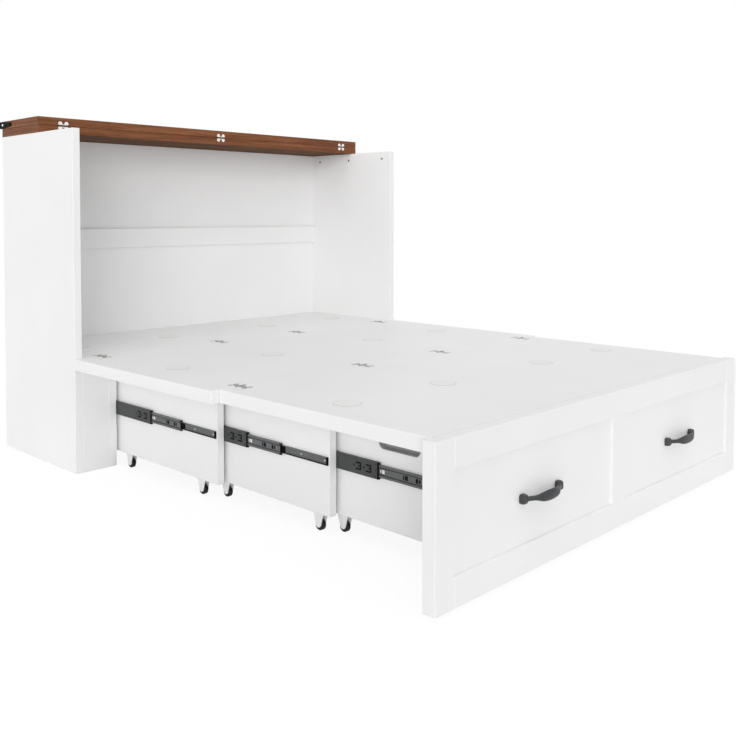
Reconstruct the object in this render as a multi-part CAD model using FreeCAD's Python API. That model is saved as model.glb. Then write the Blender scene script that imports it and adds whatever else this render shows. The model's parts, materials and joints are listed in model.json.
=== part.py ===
import FreeCAD, Part
import math
import os

# Cabinet bed, shown open. Millimetres, +Z up from the floor, X across the bed and centred.
# While modelling, Y is 0 at the cabinet's front plane and the foot lies towards -Y.
# At export everything moves along Y, so that the origin is at the middle of the footprint.

# Cabinet
CABINET_WIDTH = 1600.0
CABINET_DEPTH = 546.0
CABINET_HEIGHT = 1180.0
SIDE_THICKNESS = 27.0
BACK_THICKNESS = 15.0
BACK_INSET = 6.0
BATTEN_BOTTOM = 749.0
BATTEN_HEIGHT = 80.0
BATTEN_THICKNESS = 14.0
FILLER_WIDTH = 97.0
FILLER_THICKNESS = 18.0
RUNNER_WALL_THICKNESS = 31.0
FOOT_RAIL_THICKNESS = 14.0
FOOT_RAIL_BOTTOM = 6.0
FOOT_RAIL_HEIGHT = 36.0
CAP_RADIUS = 5.0
CAP_PROUD = 1.2
CAP_BELOW_TOP = 32.0
CAP_PLACES_Y = (51.0, 272.0, 476.0)

# Folding lid: two boards of one size, the front one folded back on the rear one
LID_BOARD_DEPTH = 294.0
LID_BOARD_THICKNESS = 28.5
LID_EASE = 0.4
LID_HINGE_FROM_EDGE = 97.0
PULL_LENGTH = 92.0
PULL_OVERHANG = 18.0
PULL_HEIGHT = 27.0
PULL_TIP_HEIGHT = 13.0
PULL_THICKNESS = 5.0
PULL_TIP_RING = 3.0

# Platform boards
PLATFORM_TOP = 394.0
PLATFORM_THICKNESS = 38.0
FRONT_PANEL_LENGTH = 779.0
FOOT_PANEL_LENGTH = 774.5
FOOT_PANEL_BEVEL = 17.0
FOOT_PANEL_SIDE_GAP = 1.5
PANEL_REST_GAP = 0.5
FOOTBOARD_GAP = 1.5
FRAME_RECESS = 8.6
FRAME_MEMBER_WIDTH = 70.0
PAD_RADIUS = 38.0
PAD_THICKNESS = 2.0
PAD_PROUD = 0.3
PAD_INSET = 125.0
PAD_SPACING = 392.0

# Clover-leaf hinges: a long-armed pattern on the platform, a short one on the lid
HINGE_AXIS_HEIGHT = 0.5
HINGE_LEAF_THICKNESS = 1.6
HINGE_KNUCKLE_RADIUS = 2.5
HINGE_KNUCKLE_GAP = 0.3
HINGE_PIN_RADIUS = 1.1
HINGE_PIN_CLEARANCE = 0.05
MORTISE_CLEARANCE = 0.4
DECK_LOBE_RADIUS = 8.0
DECK_LOBE_SPREAD = 10.5
DECK_LOBE_FROM_PIN = 32.0
DECK_STRAP_WIDTH = 15.0
DECK_STRAP_REACH = 32.0
DECK_KNUCKLE_LENGTH = 12.0
DECK_HINGE_INSET = 75.0
DECK_HINGE_SPACING = 500.0
LID_LOBE_RADIUS = 7.7
LID_LOBE_SPREAD = 12.0
LID_LOBE_FROM_PIN = 8.2
LID_STRAP_WIDTH = 18.0
LID_STRAP_REACH = 5.6
LID_KNUCKLE_LENGTH = 5.0

# Telescoping sections
SECTION_BOTTOM = 49.0
SECTION_SIDE_THICKNESS = 26.0
SECTION_2_OVERLAP = 115.0
SECTION_3_OVERLAP = 47.0
SECTION_1_REAR = 22.0
REAR_BOARD_THICKNESS = 18.0
NEST_GAP = 2.0
BACK_CLEARANCE = 2.0
HAND_HOLE_LENGTH = 148.0
HAND_HOLE_HEIGHT = 38.0
HAND_HOLE_BOTTOM = 263.0
HAND_HOLE_FROM_FOOTBOARD = 290.0

# Telescopic slides: fixed channel, outer, middle and inner members, told by their heights
SLIDE_GAP = 12.5
SLIDE_CENTRE_Z = 205.0
SLIDE_WALL = 1.2
SLIDE_PLAY = 0.4
CHANNEL_HEIGHT = 50.4
CHANNEL_FLANGE = 7.0
OUTER_HEIGHT = 45.5
OUTER_FLANGE = 9.5
MIDDLE_HEIGHT = 33.5
MIDDLE_RACE = 5.0
MIDDLE_SINK = 2.2
MIDDLE_FLANGE = 10.8
INNER_HEIGHT = 23.0
INNER_FLANGE = 5.2
MEMBER_LENGTH = 480.0
CHANNEL_END_GAP = 4.0
INNER_SETBACK = 4.0
OUTER_REACH = (221.0, 113.0, 159.0)
MIDDLE_REACH = (394.0, 267.0, 330.0)
TAB_LENGTH = 19.0
TAB_HEIGHT = 20.0
TAB_SLIT = 3.0
TAB_FROM_END = (26.0, 64.0)
TAB_HOLE_RADIUS = 2.0
TAB_HOLE_GAP = 8.0

# Casters
WHEEL_RADIUS = 16.0
WHEEL_WIDTH = 15.0
WHEEL_EASE = 2.0
AXLE_RADIUS = 3.0
AXLE_CLEARANCE = 0.06
FORK_TOP_WIDTH = 40.0
FORK_PLATE = 2.0
FORK_END_RADIUS = 11.5
FORK_END_Z = 20.5
WHEEL_SIDE_GAP = 0.6
CASTER_FRONT_SETBACK = (90.0, 50.0, 76.0)
CASTER_SPACING = 429.0

# Footboard
FOOTBOARD_THICKNESS = 37.0
FOOTBOARD_BOTTOM = 9.0
STILE_WIDTH = 68.0
MID_STILE_WIDTH = 71.0
RAIL_HEIGHT = 71.0
FOOTBOARD_PANEL_THICKNESS = 12.0
GROOVE_DEPTH = 8.0
GROOVE_CLEARANCE = 0.2
HANDLE_CENTRE_Z = 194.0

# Cast pulls
HANDLE_SPAN = 158.0
HANDLE_PROJECTION = 40.0
HANDLE_FOOT_WIDTH = 20.5
HANDLE_FOOT_HEIGHT = 23.5
HANDLE_FOOT_DEPTH = 15.0
HANDLE_FOOT_TAPER = 0.68
HANDLE_NECK = 12.5
HANDLE_SHOULDER = 17.0
HANDLE_GRIP_HEIGHT = 21.0
HANDLE_GRIP_DEPTH = 14.0
HANDLE_GRIP_LENGTH = 72.0
SCREW_RADIUS = 2.0
SCREW_HEAD_RADIUS = 4.5
SCREW_HEAD_THICKNESS = 3.0
SCREW_REACH = 8.0

# Painted edges are eased by this much
EASE = 1.2

# Sizes that follow from the ones above
HALF_WIDTH = CABINET_WIDTH / 2
INNER_HALF = HALF_WIDTH - SIDE_THICKNESS
PLATFORM_BOTTOM = PLATFORM_TOP - PLATFORM_THICKNESS
BACK_FACE = CABINET_DEPTH - BACK_INSET - BACK_THICKNESS
RUNNER_INNER_X = INNER_HALF - FILLER_WIDTH - RUNNER_WALL_THICKNESS
LID_FRONT = CABINET_DEPTH - LID_BOARD_DEPTH
LID_AXIS_Y = LID_FRONT - HINGE_AXIS_HEIGHT
LID_AXIS_Z = CABINET_HEIGHT + LID_BOARD_THICKNESS + HINGE_AXIS_HEIGHT
DECK_AXIS_Z = PLATFORM_TOP + HINGE_AXIS_HEIGHT
HEAD_AXIS_Y = -HINGE_AXIS_HEIGHT
FRONT_PANEL_HEAD = HEAD_AXIS_Y - HINGE_AXIS_HEIGHT
FRONT_PANEL_FOOT = FRONT_PANEL_HEAD - FRONT_PANEL_LENGTH
FOOT_AXIS_Y = FRONT_PANEL_FOOT - HINGE_AXIS_HEIGHT
FOOT_PANEL_HEAD = FOOT_AXIS_Y - HINGE_AXIS_HEIGHT
FOOT_PANEL_FOOT = FOOT_PANEL_HEAD - FOOT_PANEL_LENGTH
FOOT_PANEL_HALF = INNER_HALF - FOOT_PANEL_SIDE_GAP
SECTION_3_FRONT = FOOTBOARD_GAP - FOOT_PANEL_FOOT
# The sections share out the platform's reach: nested, each is one step shorter than the one round it
SECTION_STEP = REAR_BOARD_THICKNESS + NEST_GAP
SECTION_OVERLAPS = SECTION_2_OVERLAP + SECTION_3_OVERLAP
SECTION_1_LENGTH = (SECTION_3_FRONT + SECTION_1_REAR + 3 * SECTION_STEP + SECTION_OVERLAPS - NEST_GAP / 2) / 3
SECTION_1_FRONT = SECTION_1_LENGTH - SECTION_1_REAR
SECTION_2_FRONT = SECTION_1_FRONT + SECTION_1_LENGTH - SECTION_STEP - SECTION_2_OVERLAP
SECTION_FRONTS = (SECTION_1_FRONT, SECTION_2_FRONT, SECTION_3_FRONT)
SECTION_TOP = PLATFORM_BOTTOM - PANEL_REST_GAP
FOOTBOARD_REAR = -SECTION_3_FRONT
FOOTBOARD_FRONT = FOOTBOARD_REAR - FOOTBOARD_THICKNESS
FOOTBOARD_PANEL_FRONT = FOOTBOARD_FRONT + FRAME_RECESS
SECTION_PITCH = SLIDE_GAP + SECTION_SIDE_THICKNESS
DECK_HINGE_OUTER_X = INNER_HALF - DECK_HINGE_INSET
DECK_HINGE_INNER_X = DECK_HINGE_OUTER_X - DECK_HINGE_SPACING
PAD_OUTER_X = INNER_HALF - PAD_INSET
PAD_INNER_X = PAD_OUTER_X - PAD_SPACING
DECK_HINGE_PLACES = (-DECK_HINGE_OUTER_X, -DECK_HINGE_INNER_X, DECK_HINGE_INNER_X, DECK_HINGE_OUTER_X)
PAD_PLACES = (-PAD_OUTER_X, -PAD_INNER_X, PAD_INNER_X, PAD_OUTER_X)
LID_HINGE_PLACES = (-HALF_WIDTH + LID_HINGE_FROM_EDGE, 0.0, HALF_WIDTH - LID_HINGE_FROM_EDGE)

# Travels: pushed in, every section's rear end stops short of the one round it
TRAVEL_1 = CABINET_DEPTH - BACK_CLEARANCE - SECTION_1_REAR
CLOSED_FRONT = TRAVEL_1 - SECTION_FRONTS[0]
TRAVEL_2 = CLOSED_FRONT + SECTION_FRONTS[1] - TRAVEL_1
TRAVEL_3 = CLOSED_FRONT - NEST_GAP / 2 + SECTION_FRONTS[2] - TRAVEL_1 - TRAVEL_2
SECTION_REARS = (
    SECTION_1_REAR,
    SECTION_1_REAR - TRAVEL_2 - SECTION_STEP,
    SECTION_1_REAR - TRAVEL_2 - TRAVEL_3 - 2 * SECTION_STEP,
)
SECTION_OUTER_X = tuple(RUNNER_INNER_X - SLIDE_GAP - n * SECTION_PITCH for n in range(3))
# The wall that carries each stage's fixed channel: its inner face, its front and its rear
STAGE_WALL_X = tuple(x + SLIDE_GAP for x in SECTION_OUTER_X)
STAGE_WALL_FRONT = (0.0, -SECTION_FRONTS[0], -SECTION_FRONTS[1])
STAGE_WALL_REAR = (
    CABINET_DEPTH,
    SECTION_REARS[0] - REAR_BOARD_THICKNESS,
    SECTION_REARS[1] - REAR_BOARD_THICKNESS,
)
STAGE_TRAVEL = (TRAVEL_1, TRAVEL_2, TRAVEL_3)
OUTER_TRAVEL = tuple(reach + CHANNEL_END_GAP for reach in OUTER_REACH)
MIDDLE_TRAVEL = tuple(reach + CHANNEL_END_GAP for reach in MIDDLE_REACH)

FOOTPRINT_REAR = CABINET_DEPTH + PULL_OVERHANG
FOOTPRINT_FRONT = FOOTBOARD_PANEL_FRONT - HANDLE_PROJECTION
SHIFT_Y = -(FOOTPRINT_REAR + FOOTPRINT_FRONT) / 2


def vec(x, y, z):
    return FreeCAD.Vector(x, y, z)


def box(x0, x1, y0, y1, z0, z1):
    return Part.makeBox(x1 - x0, y1 - y0, z1 - z0, vec(x0, y0, z0))


def board(x0, x1, y0, y1, z0, z1, ease=EASE):
    """A board with eased edges."""
    raw = box(x0, x1, y0, y1, z0, z1)
    return raw.makeChamfer(ease, raw.Edges)


def prism(points, direction):
    """A straight prism on a closed outline of 3-D points."""
    wire = Part.makePolygon(points + points[:1])
    return Part.Face(wire).extrude(direction)


def mirrored(shape):
    return shape.mirror(vec(0, 0, 0), vec(1, 0, 0))


def pair(shape):
    """A piece on the left, and its mirror image on the right."""
    return Part.makeCompound([shape, mirrored(shape)])


def moved(shape, x, y, z):
    copy = shape.copy()
    copy.translate(vec(x, y, z))
    return copy


def save(name, shape):
    placed = moved(shape, 0, SHIFT_Y, 0)
    placed.exportStep(os.path.join("parts", name + ".step"))


# Hinges, modelled lying flat with the pin along X at the origin


def leaf_plate(lobe_radius, spread, from_pin, strap_width, strap_reach, grow):
    """Two round lobes and the strap that carries them, on the +Y side of the pin."""
    low = -HINGE_AXIS_HEIGHT - HINGE_LEAF_THICKNESS
    high = low + HINGE_LEAF_THICKNESS
    root = HINGE_KNUCKLE_RADIUS + MORTISE_CLEARANCE - grow
    lobes = [
        Part.makeCylinder(lobe_radius + grow, HINGE_LEAF_THICKNESS, vec(side * spread, from_pin, low))
        for side in (-1, 1)
    ]
    half = strap_width / 2 + grow
    strap = box(-half, half, root, strap_reach, low, high)
    plate = strap.fuse(lobes).removeSplitter()
    reach = from_pin + spread + 2 * lobe_radius
    return plate.common(box(-reach, reach, root, reach, low, high))


def pin_cylinder(radius, start, length):
    return Part.makeCylinder(radius, length, vec(start, 0, 0), vec(1, 0, 0))


def knuckle(start, knuckle_length):
    """One knuckle, with the tab that carries it to its leaf."""
    length = knuckle_length - HINGE_KNUCKLE_GAP
    first = start + HINGE_KNUCKLE_GAP / 2
    barrel = pin_cylinder(HINGE_KNUCKLE_RADIUS, first, length)
    low = -HINGE_AXIS_HEIGHT - HINGE_LEAF_THICKNESS
    tab_reach = HINGE_KNUCKLE_RADIUS + 2 * MORTISE_CLEARANCE
    tab = box(first, first + length, 0, tab_reach, low, low + HINGE_LEAF_THICKNESS)
    return barrel.fuse(tab)


def turned_about_z(shape):
    copy = shape.copy()
    copy.rotate(vec(0, 0, 0), vec(0, 0, 1), 180)
    return copy


def hinge_parts(lobe_radius, spread, from_pin, strap_width, strap_reach, knuckle_length):
    """The still leaf on +Y with the middle knuckle, the swinging leaf on -Y, and the pin."""
    plate = leaf_plate(lobe_radius, spread, from_pin, strap_width, strap_reach, 0.0)
    half = knuckle_length / 2
    bore = pin_cylinder(HINGE_PIN_RADIUS + HINGE_PIN_CLEARANCE, -3 * half, 6 * half)
    still = plate.fuse(knuckle(-half, knuckle_length)).cut(bore).removeSplitter()
    outer = [knuckle(-3 * half, knuckle_length), knuckle(half, knuckle_length)]
    swinging = turned_about_z(plate.fuse(outer).cut(bore).removeSplitter())
    pin = pin_cylinder(HINGE_PIN_RADIUS, -3 * half, 6 * half)
    return still, swinging, pin


def mortise(lobe_radius, spread, from_pin, strap_width, strap_reach, trough_length):
    """What both boards lose to one hinge: the leaves' pockets and the knuckles' trough."""
    pocket = leaf_plate(lobe_radius, spread, from_pin, strap_width, strap_reach, MORTISE_CLEARANCE)
    half = trough_length / 2 + MORTISE_CLEARANCE
    deep = HINGE_KNUCKLE_RADIUS + 2 * MORTISE_CLEARANCE
    trough = box(-half, half, -deep, deep, -deep, 2 * deep)
    return pocket.fuse([turned_about_z(pocket), trough])


def stood_up(shape):
    """From lying on the platform to standing on the lid's front face."""
    copy = shape.copy()
    copy.rotate(vec(0, 0, 0), vec(1, 0, 0), 90)
    return copy


def row(shape, places_x, y, z):
    return [moved(shape, x, y, z) for x in places_x]


DECK_LEAF = (DECK_LOBE_RADIUS, DECK_LOBE_SPREAD, DECK_LOBE_FROM_PIN, DECK_STRAP_WIDTH, DECK_STRAP_REACH)
LID_LEAF = (LID_LOBE_RADIUS, LID_LOBE_SPREAD, LID_LOBE_FROM_PIN, LID_STRAP_WIDTH, LID_STRAP_REACH)
DECK_STILL, DECK_SWINGING, DECK_PIN = hinge_parts(*DECK_LEAF, DECK_KNUCKLE_LENGTH)
LID_UPPER, LID_LOWER, LID_PIN = hinge_parts(*LID_LEAF, LID_KNUCKLE_LENGTH)
DECK_MORTISE = mortise(*DECK_LEAF, 3 * DECK_KNUCKLE_LENGTH)
LID_MORTISE = stood_up(mortise(*LID_LEAF, 2 * (LID_LOBE_SPREAD + LID_LOBE_RADIUS)))
HEAD_MORTISES = row(DECK_MORTISE, DECK_HINGE_PLACES, HEAD_AXIS_Y, DECK_AXIS_Z)
FOOT_MORTISES = row(DECK_MORTISE, DECK_HINGE_PLACES, FOOT_AXIS_Y, DECK_AXIS_Z)
LID_MORTISES = row(LID_MORTISE, LID_HINGE_PLACES, LID_AXIS_Y, LID_AXIS_Z)


def grip_pads(y):
    """A row of round pads let into a platform board."""
    low = PLATFORM_TOP + PAD_PROUD - PAD_THICKNESS
    disc = Part.makeCylinder(PAD_RADIUS, PAD_THICKNESS, vec(0, y, low))
    return row(disc, PAD_PLACES, 0, 0)


def pad_pockets(y):
    low = PLATFORM_TOP + PAD_PROUD - PAD_THICKNESS
    disc = Part.makeCylinder(PAD_RADIUS + PAD_PROUD, PAD_THICKNESS, vec(0, y, low))
    return row(disc, PAD_PLACES, 0, 0)


# Head cabinet


def cabinet_side():
    side = board(-HALF_WIDTH, -INNER_HALF, 0, CABINET_DEPTH, 0, CABINET_HEIGHT)
    return side.cut(cap_bores())


def cap_cylinder(y, radius, start, length):
    place = vec(start, y, CABINET_HEIGHT - CAP_BELOW_TOP)
    return Part.makeCylinder(radius, length, place, vec(1, 0, 0))


def cap_bores():
    depth = SIDE_THICKNESS / 2
    return [cap_cylinder(y, CAP_RADIUS, -INNER_HALF - depth, depth) for y in CAP_PLACES_Y]


def connector_caps():
    """Round caps over the connectors near the top of each side."""
    depth = SIDE_THICKNESS / 2
    caps = [cap_cylinder(y, CAP_RADIUS, -INNER_HALF - depth, depth + CAP_PROUD) for y in CAP_PLACES_Y]
    return Part.makeCompound(caps + [mirrored(cap) for cap in caps])


def head_deck():
    deck = board(-INNER_HALF, INNER_HALF, 0, BACK_FACE, PLATFORM_BOTTOM, PLATFORM_TOP)
    return deck.cut(HEAD_MORTISES + pad_pockets(BACK_FACE / 2))


def build_cabinet():
    side = cabinet_side()
    save("cabinet_side_left", side)
    save("cabinet_side_right", mirrored(side))
    back = board(
        -INNER_HALF, INNER_HALF, BACK_FACE, BACK_FACE + BACK_THICKNESS, PLATFORM_BOTTOM, CABINET_HEIGHT
    )
    save("cabinet_back_panel", back)
    batten_front = BACK_FACE - BATTEN_THICKNESS
    batten_top = BATTEN_BOTTOM + BATTEN_HEIGHT
    save(
        "back_batten",
        board(-INNER_HALF, INNER_HALF, batten_front, BACK_FACE, BATTEN_BOTTOM, batten_top),
    )
    filler_inner = -INNER_HALF + FILLER_WIDTH
    filler = board(-INNER_HALF, filler_inner, 0, FILLER_THICKNESS, 0, PLATFORM_BOTTOM)
    save("front_fillers", pair(filler))
    wall = board(filler_inner, -RUNNER_INNER_X, 0, CABINET_DEPTH, 0, PLATFORM_BOTTOM)
    save("runner_walls", pair(wall))
    save("head_deck", head_deck())
    rail_front = CABINET_DEPTH - FOOT_RAIL_THICKNESS
    rail_top = FOOT_RAIL_BOTTOM + FOOT_RAIL_HEIGHT
    save(
        "rear_foot_rail",
        board(-RUNNER_INNER_X, RUNNER_INNER_X, rail_front, CABINET_DEPTH, FOOT_RAIL_BOTTOM, rail_top),
    )
    save("connector_caps", connector_caps())
    save("head_deck_pads", Part.makeCompound(grip_pads(BACK_FACE / 2)))


# Folding lid


def lid_board(bottom):
    top = bottom + LID_BOARD_THICKNESS
    plain = board(-HALF_WIDTH, HALF_WIDTH, LID_FRONT, CABINET_DEPTH, bottom, top, LID_EASE)
    return plain.cut(LID_MORTISES)


def end_pull():
    """A black strap on the board's end: a tapered plate with a ring at its tip and a tab past the edge."""
    outer = -HALF_WIDTH - PULL_THICKNESS
    rear = CABINET_DEPTH + PULL_OVERHANG
    tip = rear - PULL_LENGTH
    middle_z = LID_AXIS_Z + HINGE_AXIS_HEIGHT + LID_BOARD_THICKNESS / 2
    outline = [
        vec(outer, rear, middle_z - PULL_HEIGHT / 3),
        vec(outer, rear, middle_z + PULL_HEIGHT / 3),
        vec(outer, rear - PULL_HEIGHT / 2, middle_z + PULL_HEIGHT / 2),
        vec(outer, tip, middle_z + PULL_TIP_HEIGHT / 2),
        vec(outer, tip, middle_z - PULL_TIP_HEIGHT / 2),
        vec(outer, rear - PULL_HEIGHT / 2, middle_z - PULL_HEIGHT / 2),
    ]
    plate = prism(outline, vec(PULL_THICKNESS, 0, 0))
    ends = Part.makeCylinder(PULL_TIP_HEIGHT / 2, PULL_THICKNESS, vec(outer, tip, middle_z), vec(1, 0, 0))
    eye = Part.makeCylinder(PULL_TIP_RING, PULL_THICKNESS, vec(outer, tip, middle_z), vec(1, 0, 0))
    return plate.fuse(ends).cut(eye).removeSplitter()


def build_lid():
    save("lid_rear_board", lid_board(CABINET_HEIGHT))
    save("lid_front_board", lid_board(LID_AXIS_Z + HINGE_AXIS_HEIGHT))
    lower = row(stood_up(LID_LOWER), LID_HINGE_PLACES, LID_AXIS_Y, LID_AXIS_Z)
    upper = row(stood_up(LID_UPPER), LID_HINGE_PLACES, LID_AXIS_Y, LID_AXIS_Z)
    pins = row(LID_PIN, LID_HINGE_PLACES, LID_AXIS_Y, LID_AXIS_Z)
    save("lid_hinge_rear_leaves", Part.makeCompound(lower + pins))
    save("lid_hinge_front_leaves", Part.makeCompound(upper))
    save("lid_pulls", pair(end_pull()))


# Platform panels


def front_panel_frame():
    """Stiles and rails on the underside, which is the cabinet's upper front when the bed is shut."""
    low = PLATFORM_BOTTOM
    high = PLATFORM_BOTTOM + FRAME_RECESS
    inner = HALF_WIDTH - FRAME_MEMBER_WIDTH
    rail_head = FRONT_PANEL_HEAD - FRAME_MEMBER_WIDTH
    rail_foot = FRONT_PANEL_FOOT + FRAME_MEMBER_WIDTH
    half = FRAME_MEMBER_WIDTH / 2
    return Part.makeCompound(
        [
            board(-HALF_WIDTH, -inner, FRONT_PANEL_FOOT, FRONT_PANEL_HEAD, low, high),
            board(inner, HALF_WIDTH, FRONT_PANEL_FOOT, FRONT_PANEL_HEAD, low, high),
            board(-inner, inner, rail_head, FRONT_PANEL_HEAD, low, high),
            board(-inner, inner, FRONT_PANEL_FOOT, rail_foot, low, high),
            board(-half, half, rail_foot, rail_head, low, high),
        ]
    )


def build_front_panel():
    pad_y = (FRONT_PANEL_HEAD + FRONT_PANEL_FOOT) / 2
    panel = board(
        -HALF_WIDTH,
        HALF_WIDTH,
        FRONT_PANEL_FOOT,
        FRONT_PANEL_HEAD,
        PLATFORM_BOTTOM + FRAME_RECESS,
        PLATFORM_TOP,
    )
    save("front_panel_board", panel.cut(HEAD_MORTISES + FOOT_MORTISES + pad_pockets(pad_y)))
    save("front_panel_frame", front_panel_frame())
    save("front_panel_pads", Part.makeCompound(grip_pads(pad_y)))
    pins = row(DECK_PIN, DECK_HINGE_PLACES, HEAD_AXIS_Y, DECK_AXIS_Z)
    still = row(DECK_STILL, DECK_HINGE_PLACES, HEAD_AXIS_Y, DECK_AXIS_Z)
    save("head_hinge_deck_leaves", Part.makeCompound(still + pins))
    swinging = row(DECK_SWINGING, DECK_HINGE_PLACES, HEAD_AXIS_Y, DECK_AXIS_Z)
    save("head_hinge_panel_leaves", Part.makeCompound(swinging))


def build_foot_panel():
    """The foot end leans back underneath, so that it clears the footboard as it lifts."""
    low, high = PLATFORM_BOTTOM, PLATFORM_TOP
    side = [
        vec(-FOOT_PANEL_HALF, FOOT_PANEL_HEAD, low),
        vec(-FOOT_PANEL_HALF, FOOT_PANEL_HEAD, high),
        vec(-FOOT_PANEL_HALF, FOOT_PANEL_FOOT, high),
        vec(-FOOT_PANEL_HALF, FOOT_PANEL_FOOT + FOOT_PANEL_BEVEL, low),
    ]
    plain = prism(side, vec(2 * FOOT_PANEL_HALF, 0, 0))
    plain = plain.makeChamfer(EASE, plain.Edges)
    pad_y = (FOOT_PANEL_HEAD + FOOT_PANEL_FOOT) / 2
    save("foot_panel_board", plain.cut(FOOT_MORTISES + pad_pockets(pad_y)))
    save("foot_panel_pads", Part.makeCompound(grip_pads(pad_y)))
    pins = row(DECK_PIN, DECK_HINGE_PLACES, FOOT_AXIS_Y, DECK_AXIS_Z)
    still = row(DECK_STILL, DECK_HINGE_PLACES, FOOT_AXIS_Y, DECK_AXIS_Z)
    save("foot_hinge_front_leaves", Part.makeCompound(still + pins))
    swinging = row(DECK_SWINGING, DECK_HINGE_PLACES, FOOT_AXIS_Y, DECK_AXIS_Z)
    save("foot_hinge_foot_leaves", Part.makeCompound(swinging))


# Slides, modelled on the left: u runs from the carrying wall's face towards the bed's middle


def slide_profile(points, wall_x, front, rear):
    """Extrudes one half-profile of (u, height) points, doubled about the slide's middle line."""
    outline = [vec(-wall_x + u, front, SLIDE_CENTRE_Z + h) for u, h in points]
    lower = [vec(-wall_x + u, front, SLIDE_CENTRE_Z - h) for u, h in reversed(points)]
    return prism(outline + lower, vec(0, rear - front, 0))


def channel_points(web, height, flange):
    """A channel whose web lies at the wall side, from its web's outer face to its flange tip."""
    half = height / 2
    return [
        (web + SLIDE_WALL, half - SLIDE_WALL),
        (flange, half - SLIDE_WALL),
        (flange, half),
        (web, half),
    ]


def middle_points(web, flange):
    """The middle member: rolled ball races along its edges stand proud of a sunk web."""
    half = MIDDLE_HEIGHT / 2
    race = half - MIDDLE_RACE
    sunk = web + MIDDLE_SINK
    step = SLIDE_WALL * 4 / 3
    return [
        (sunk + SLIDE_WALL, race),
        (web + SLIDE_WALL, race + step),
        (web + SLIDE_WALL, half - SLIDE_WALL),
        (flange, half - SLIDE_WALL),
        (flange, half),
        (web, half),
        (web, race),
        (sunk, race - step),
    ]


def punched_tab(wall_x, front, web):
    """The slits round a mounting tab, shaped like a 3, and the small hole behind it."""
    middle = SLIDE_CENTRE_Z
    low = middle - TAB_HEIGHT / 2
    high = middle + TAB_HEIGHT / 2
    x0 = -wall_x + web - SLIDE_WALL
    x1 = -wall_x + web + 2 * SLIDE_WALL
    end = front + TAB_LENGTH
    return [
        box(x0, x1, front, end, low, low + TAB_SLIT),
        box(x0, x1, front, end, high - TAB_SLIT, high),
        box(x0, x1, front, front + TAB_SLIT, low, high),
        box(x0, x1, front, front + TAB_LENGTH / 2, middle - TAB_SLIT / 2, middle + TAB_SLIT / 2),
        Part.makeCylinder(TAB_HOLE_RADIUS, x1 - x0, vec(x0, end + TAB_HOLE_GAP, middle), vec(1, 0, 0)),
    ]


OUTER_WEB = SLIDE_WALL + SLIDE_PLAY
MIDDLE_WEB = OUTER_WEB + SLIDE_WALL + SLIDE_PLAY


def outer_member(stage):
    wall_x = STAGE_WALL_X[stage]
    front = STAGE_WALL_FRONT[stage] - OUTER_REACH[stage]
    points = channel_points(OUTER_WEB, OUTER_HEIGHT, OUTER_FLANGE)
    member = slide_profile(points, wall_x, front, front + MEMBER_LENGTH)
    slits = []
    for start in TAB_FROM_END:
        slits += punched_tab(wall_x, front + start, OUTER_WEB)
    return member.cut(slits)


def middle_member(stage):
    wall_x = STAGE_WALL_X[stage]
    front = STAGE_WALL_FRONT[stage] - MIDDLE_REACH[stage]
    points = middle_points(MIDDLE_WEB, MIDDLE_FLANGE)
    return slide_profile(points, wall_x, front, front + MEMBER_LENGTH)


def inner_member(stage):
    """The inner member is screwed to the section that it carries, and opens towards the wall."""
    front = -SECTION_FRONTS[stage] + INNER_SETBACK
    half = INNER_HEIGHT / 2
    points = [
        (SLIDE_GAP - SLIDE_WALL, half - SLIDE_WALL),
        (SLIDE_GAP - INNER_FLANGE, half - SLIDE_WALL),
        (SLIDE_GAP - INNER_FLANGE, half),
        (SLIDE_GAP, half),
    ]
    return slide_profile(points, STAGE_WALL_X[stage], front, front + MEMBER_LENGTH)


def fixed_channel(stage):
    front = STAGE_WALL_FRONT[stage] + CHANNEL_END_GAP
    rear = STAGE_WALL_REAR[stage] - CHANNEL_END_GAP
    points = channel_points(0.0, CHANNEL_HEIGHT, CHANNEL_FLANGE)
    return slide_profile(points, STAGE_WALL_X[stage], front, rear)


def build_slides():
    for stage in range(3):
        name = "stage_" + str(stage + 1)
        save(name + "_channels", pair(fixed_channel(stage)))
        save(name + "_outer_members", pair(outer_member(stage)))
        save(name + "_middle_members", pair(middle_member(stage)))
        save(name + "_inner_members", pair(inner_member(stage)))


# Sections and their casters


def section_side(stage):
    outer = -SECTION_OUTER_X[stage]
    side = board(
        outer,
        outer + SECTION_SIDE_THICKNESS,
        -SECTION_FRONTS[stage],
        SECTION_REARS[stage],
        SECTION_BOTTOM,
        SECTION_TOP,
    )
    if stage == 2:
        side = side.cut(hand_hole(outer))
    return side


def hand_hole(outer):
    radius = HAND_HOLE_HEIGHT / 2
    middle_y = FOOTBOARD_REAR + HAND_HOLE_FROM_FOOTBOARD
    middle_z = HAND_HOLE_BOTTOM + radius
    straight = HAND_HOLE_LENGTH / 2 - radius
    ends = [
        Part.makeCylinder(
            radius, SECTION_SIDE_THICKNESS, vec(outer, middle_y + side * straight, middle_z), vec(1, 0, 0)
        )
        for side in (-1, 1)
    ]
    body = box(
        outer,
        outer + SECTION_SIDE_THICKNESS,
        middle_y - straight,
        middle_y + straight,
        HAND_HOLE_BOTTOM,
        HAND_HOLE_BOTTOM + HAND_HOLE_HEIGHT,
    )
    return body.fuse(ends)


def section_rear_board(stage):
    inner = SECTION_OUTER_X[stage] - SECTION_SIDE_THICKNESS
    rear = SECTION_REARS[stage]
    return board(-inner, inner, rear - REAR_BOARD_THICKNESS, rear, SECTION_BOTTOM, SECTION_TOP)


def caster_places(stage):
    x = -SECTION_OUTER_X[stage] + SECTION_SIDE_THICKNESS / 2
    front = -SECTION_FRONTS[stage] + CASTER_FRONT_SETBACK[stage]
    return x, (front, front + CASTER_SPACING)


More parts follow.
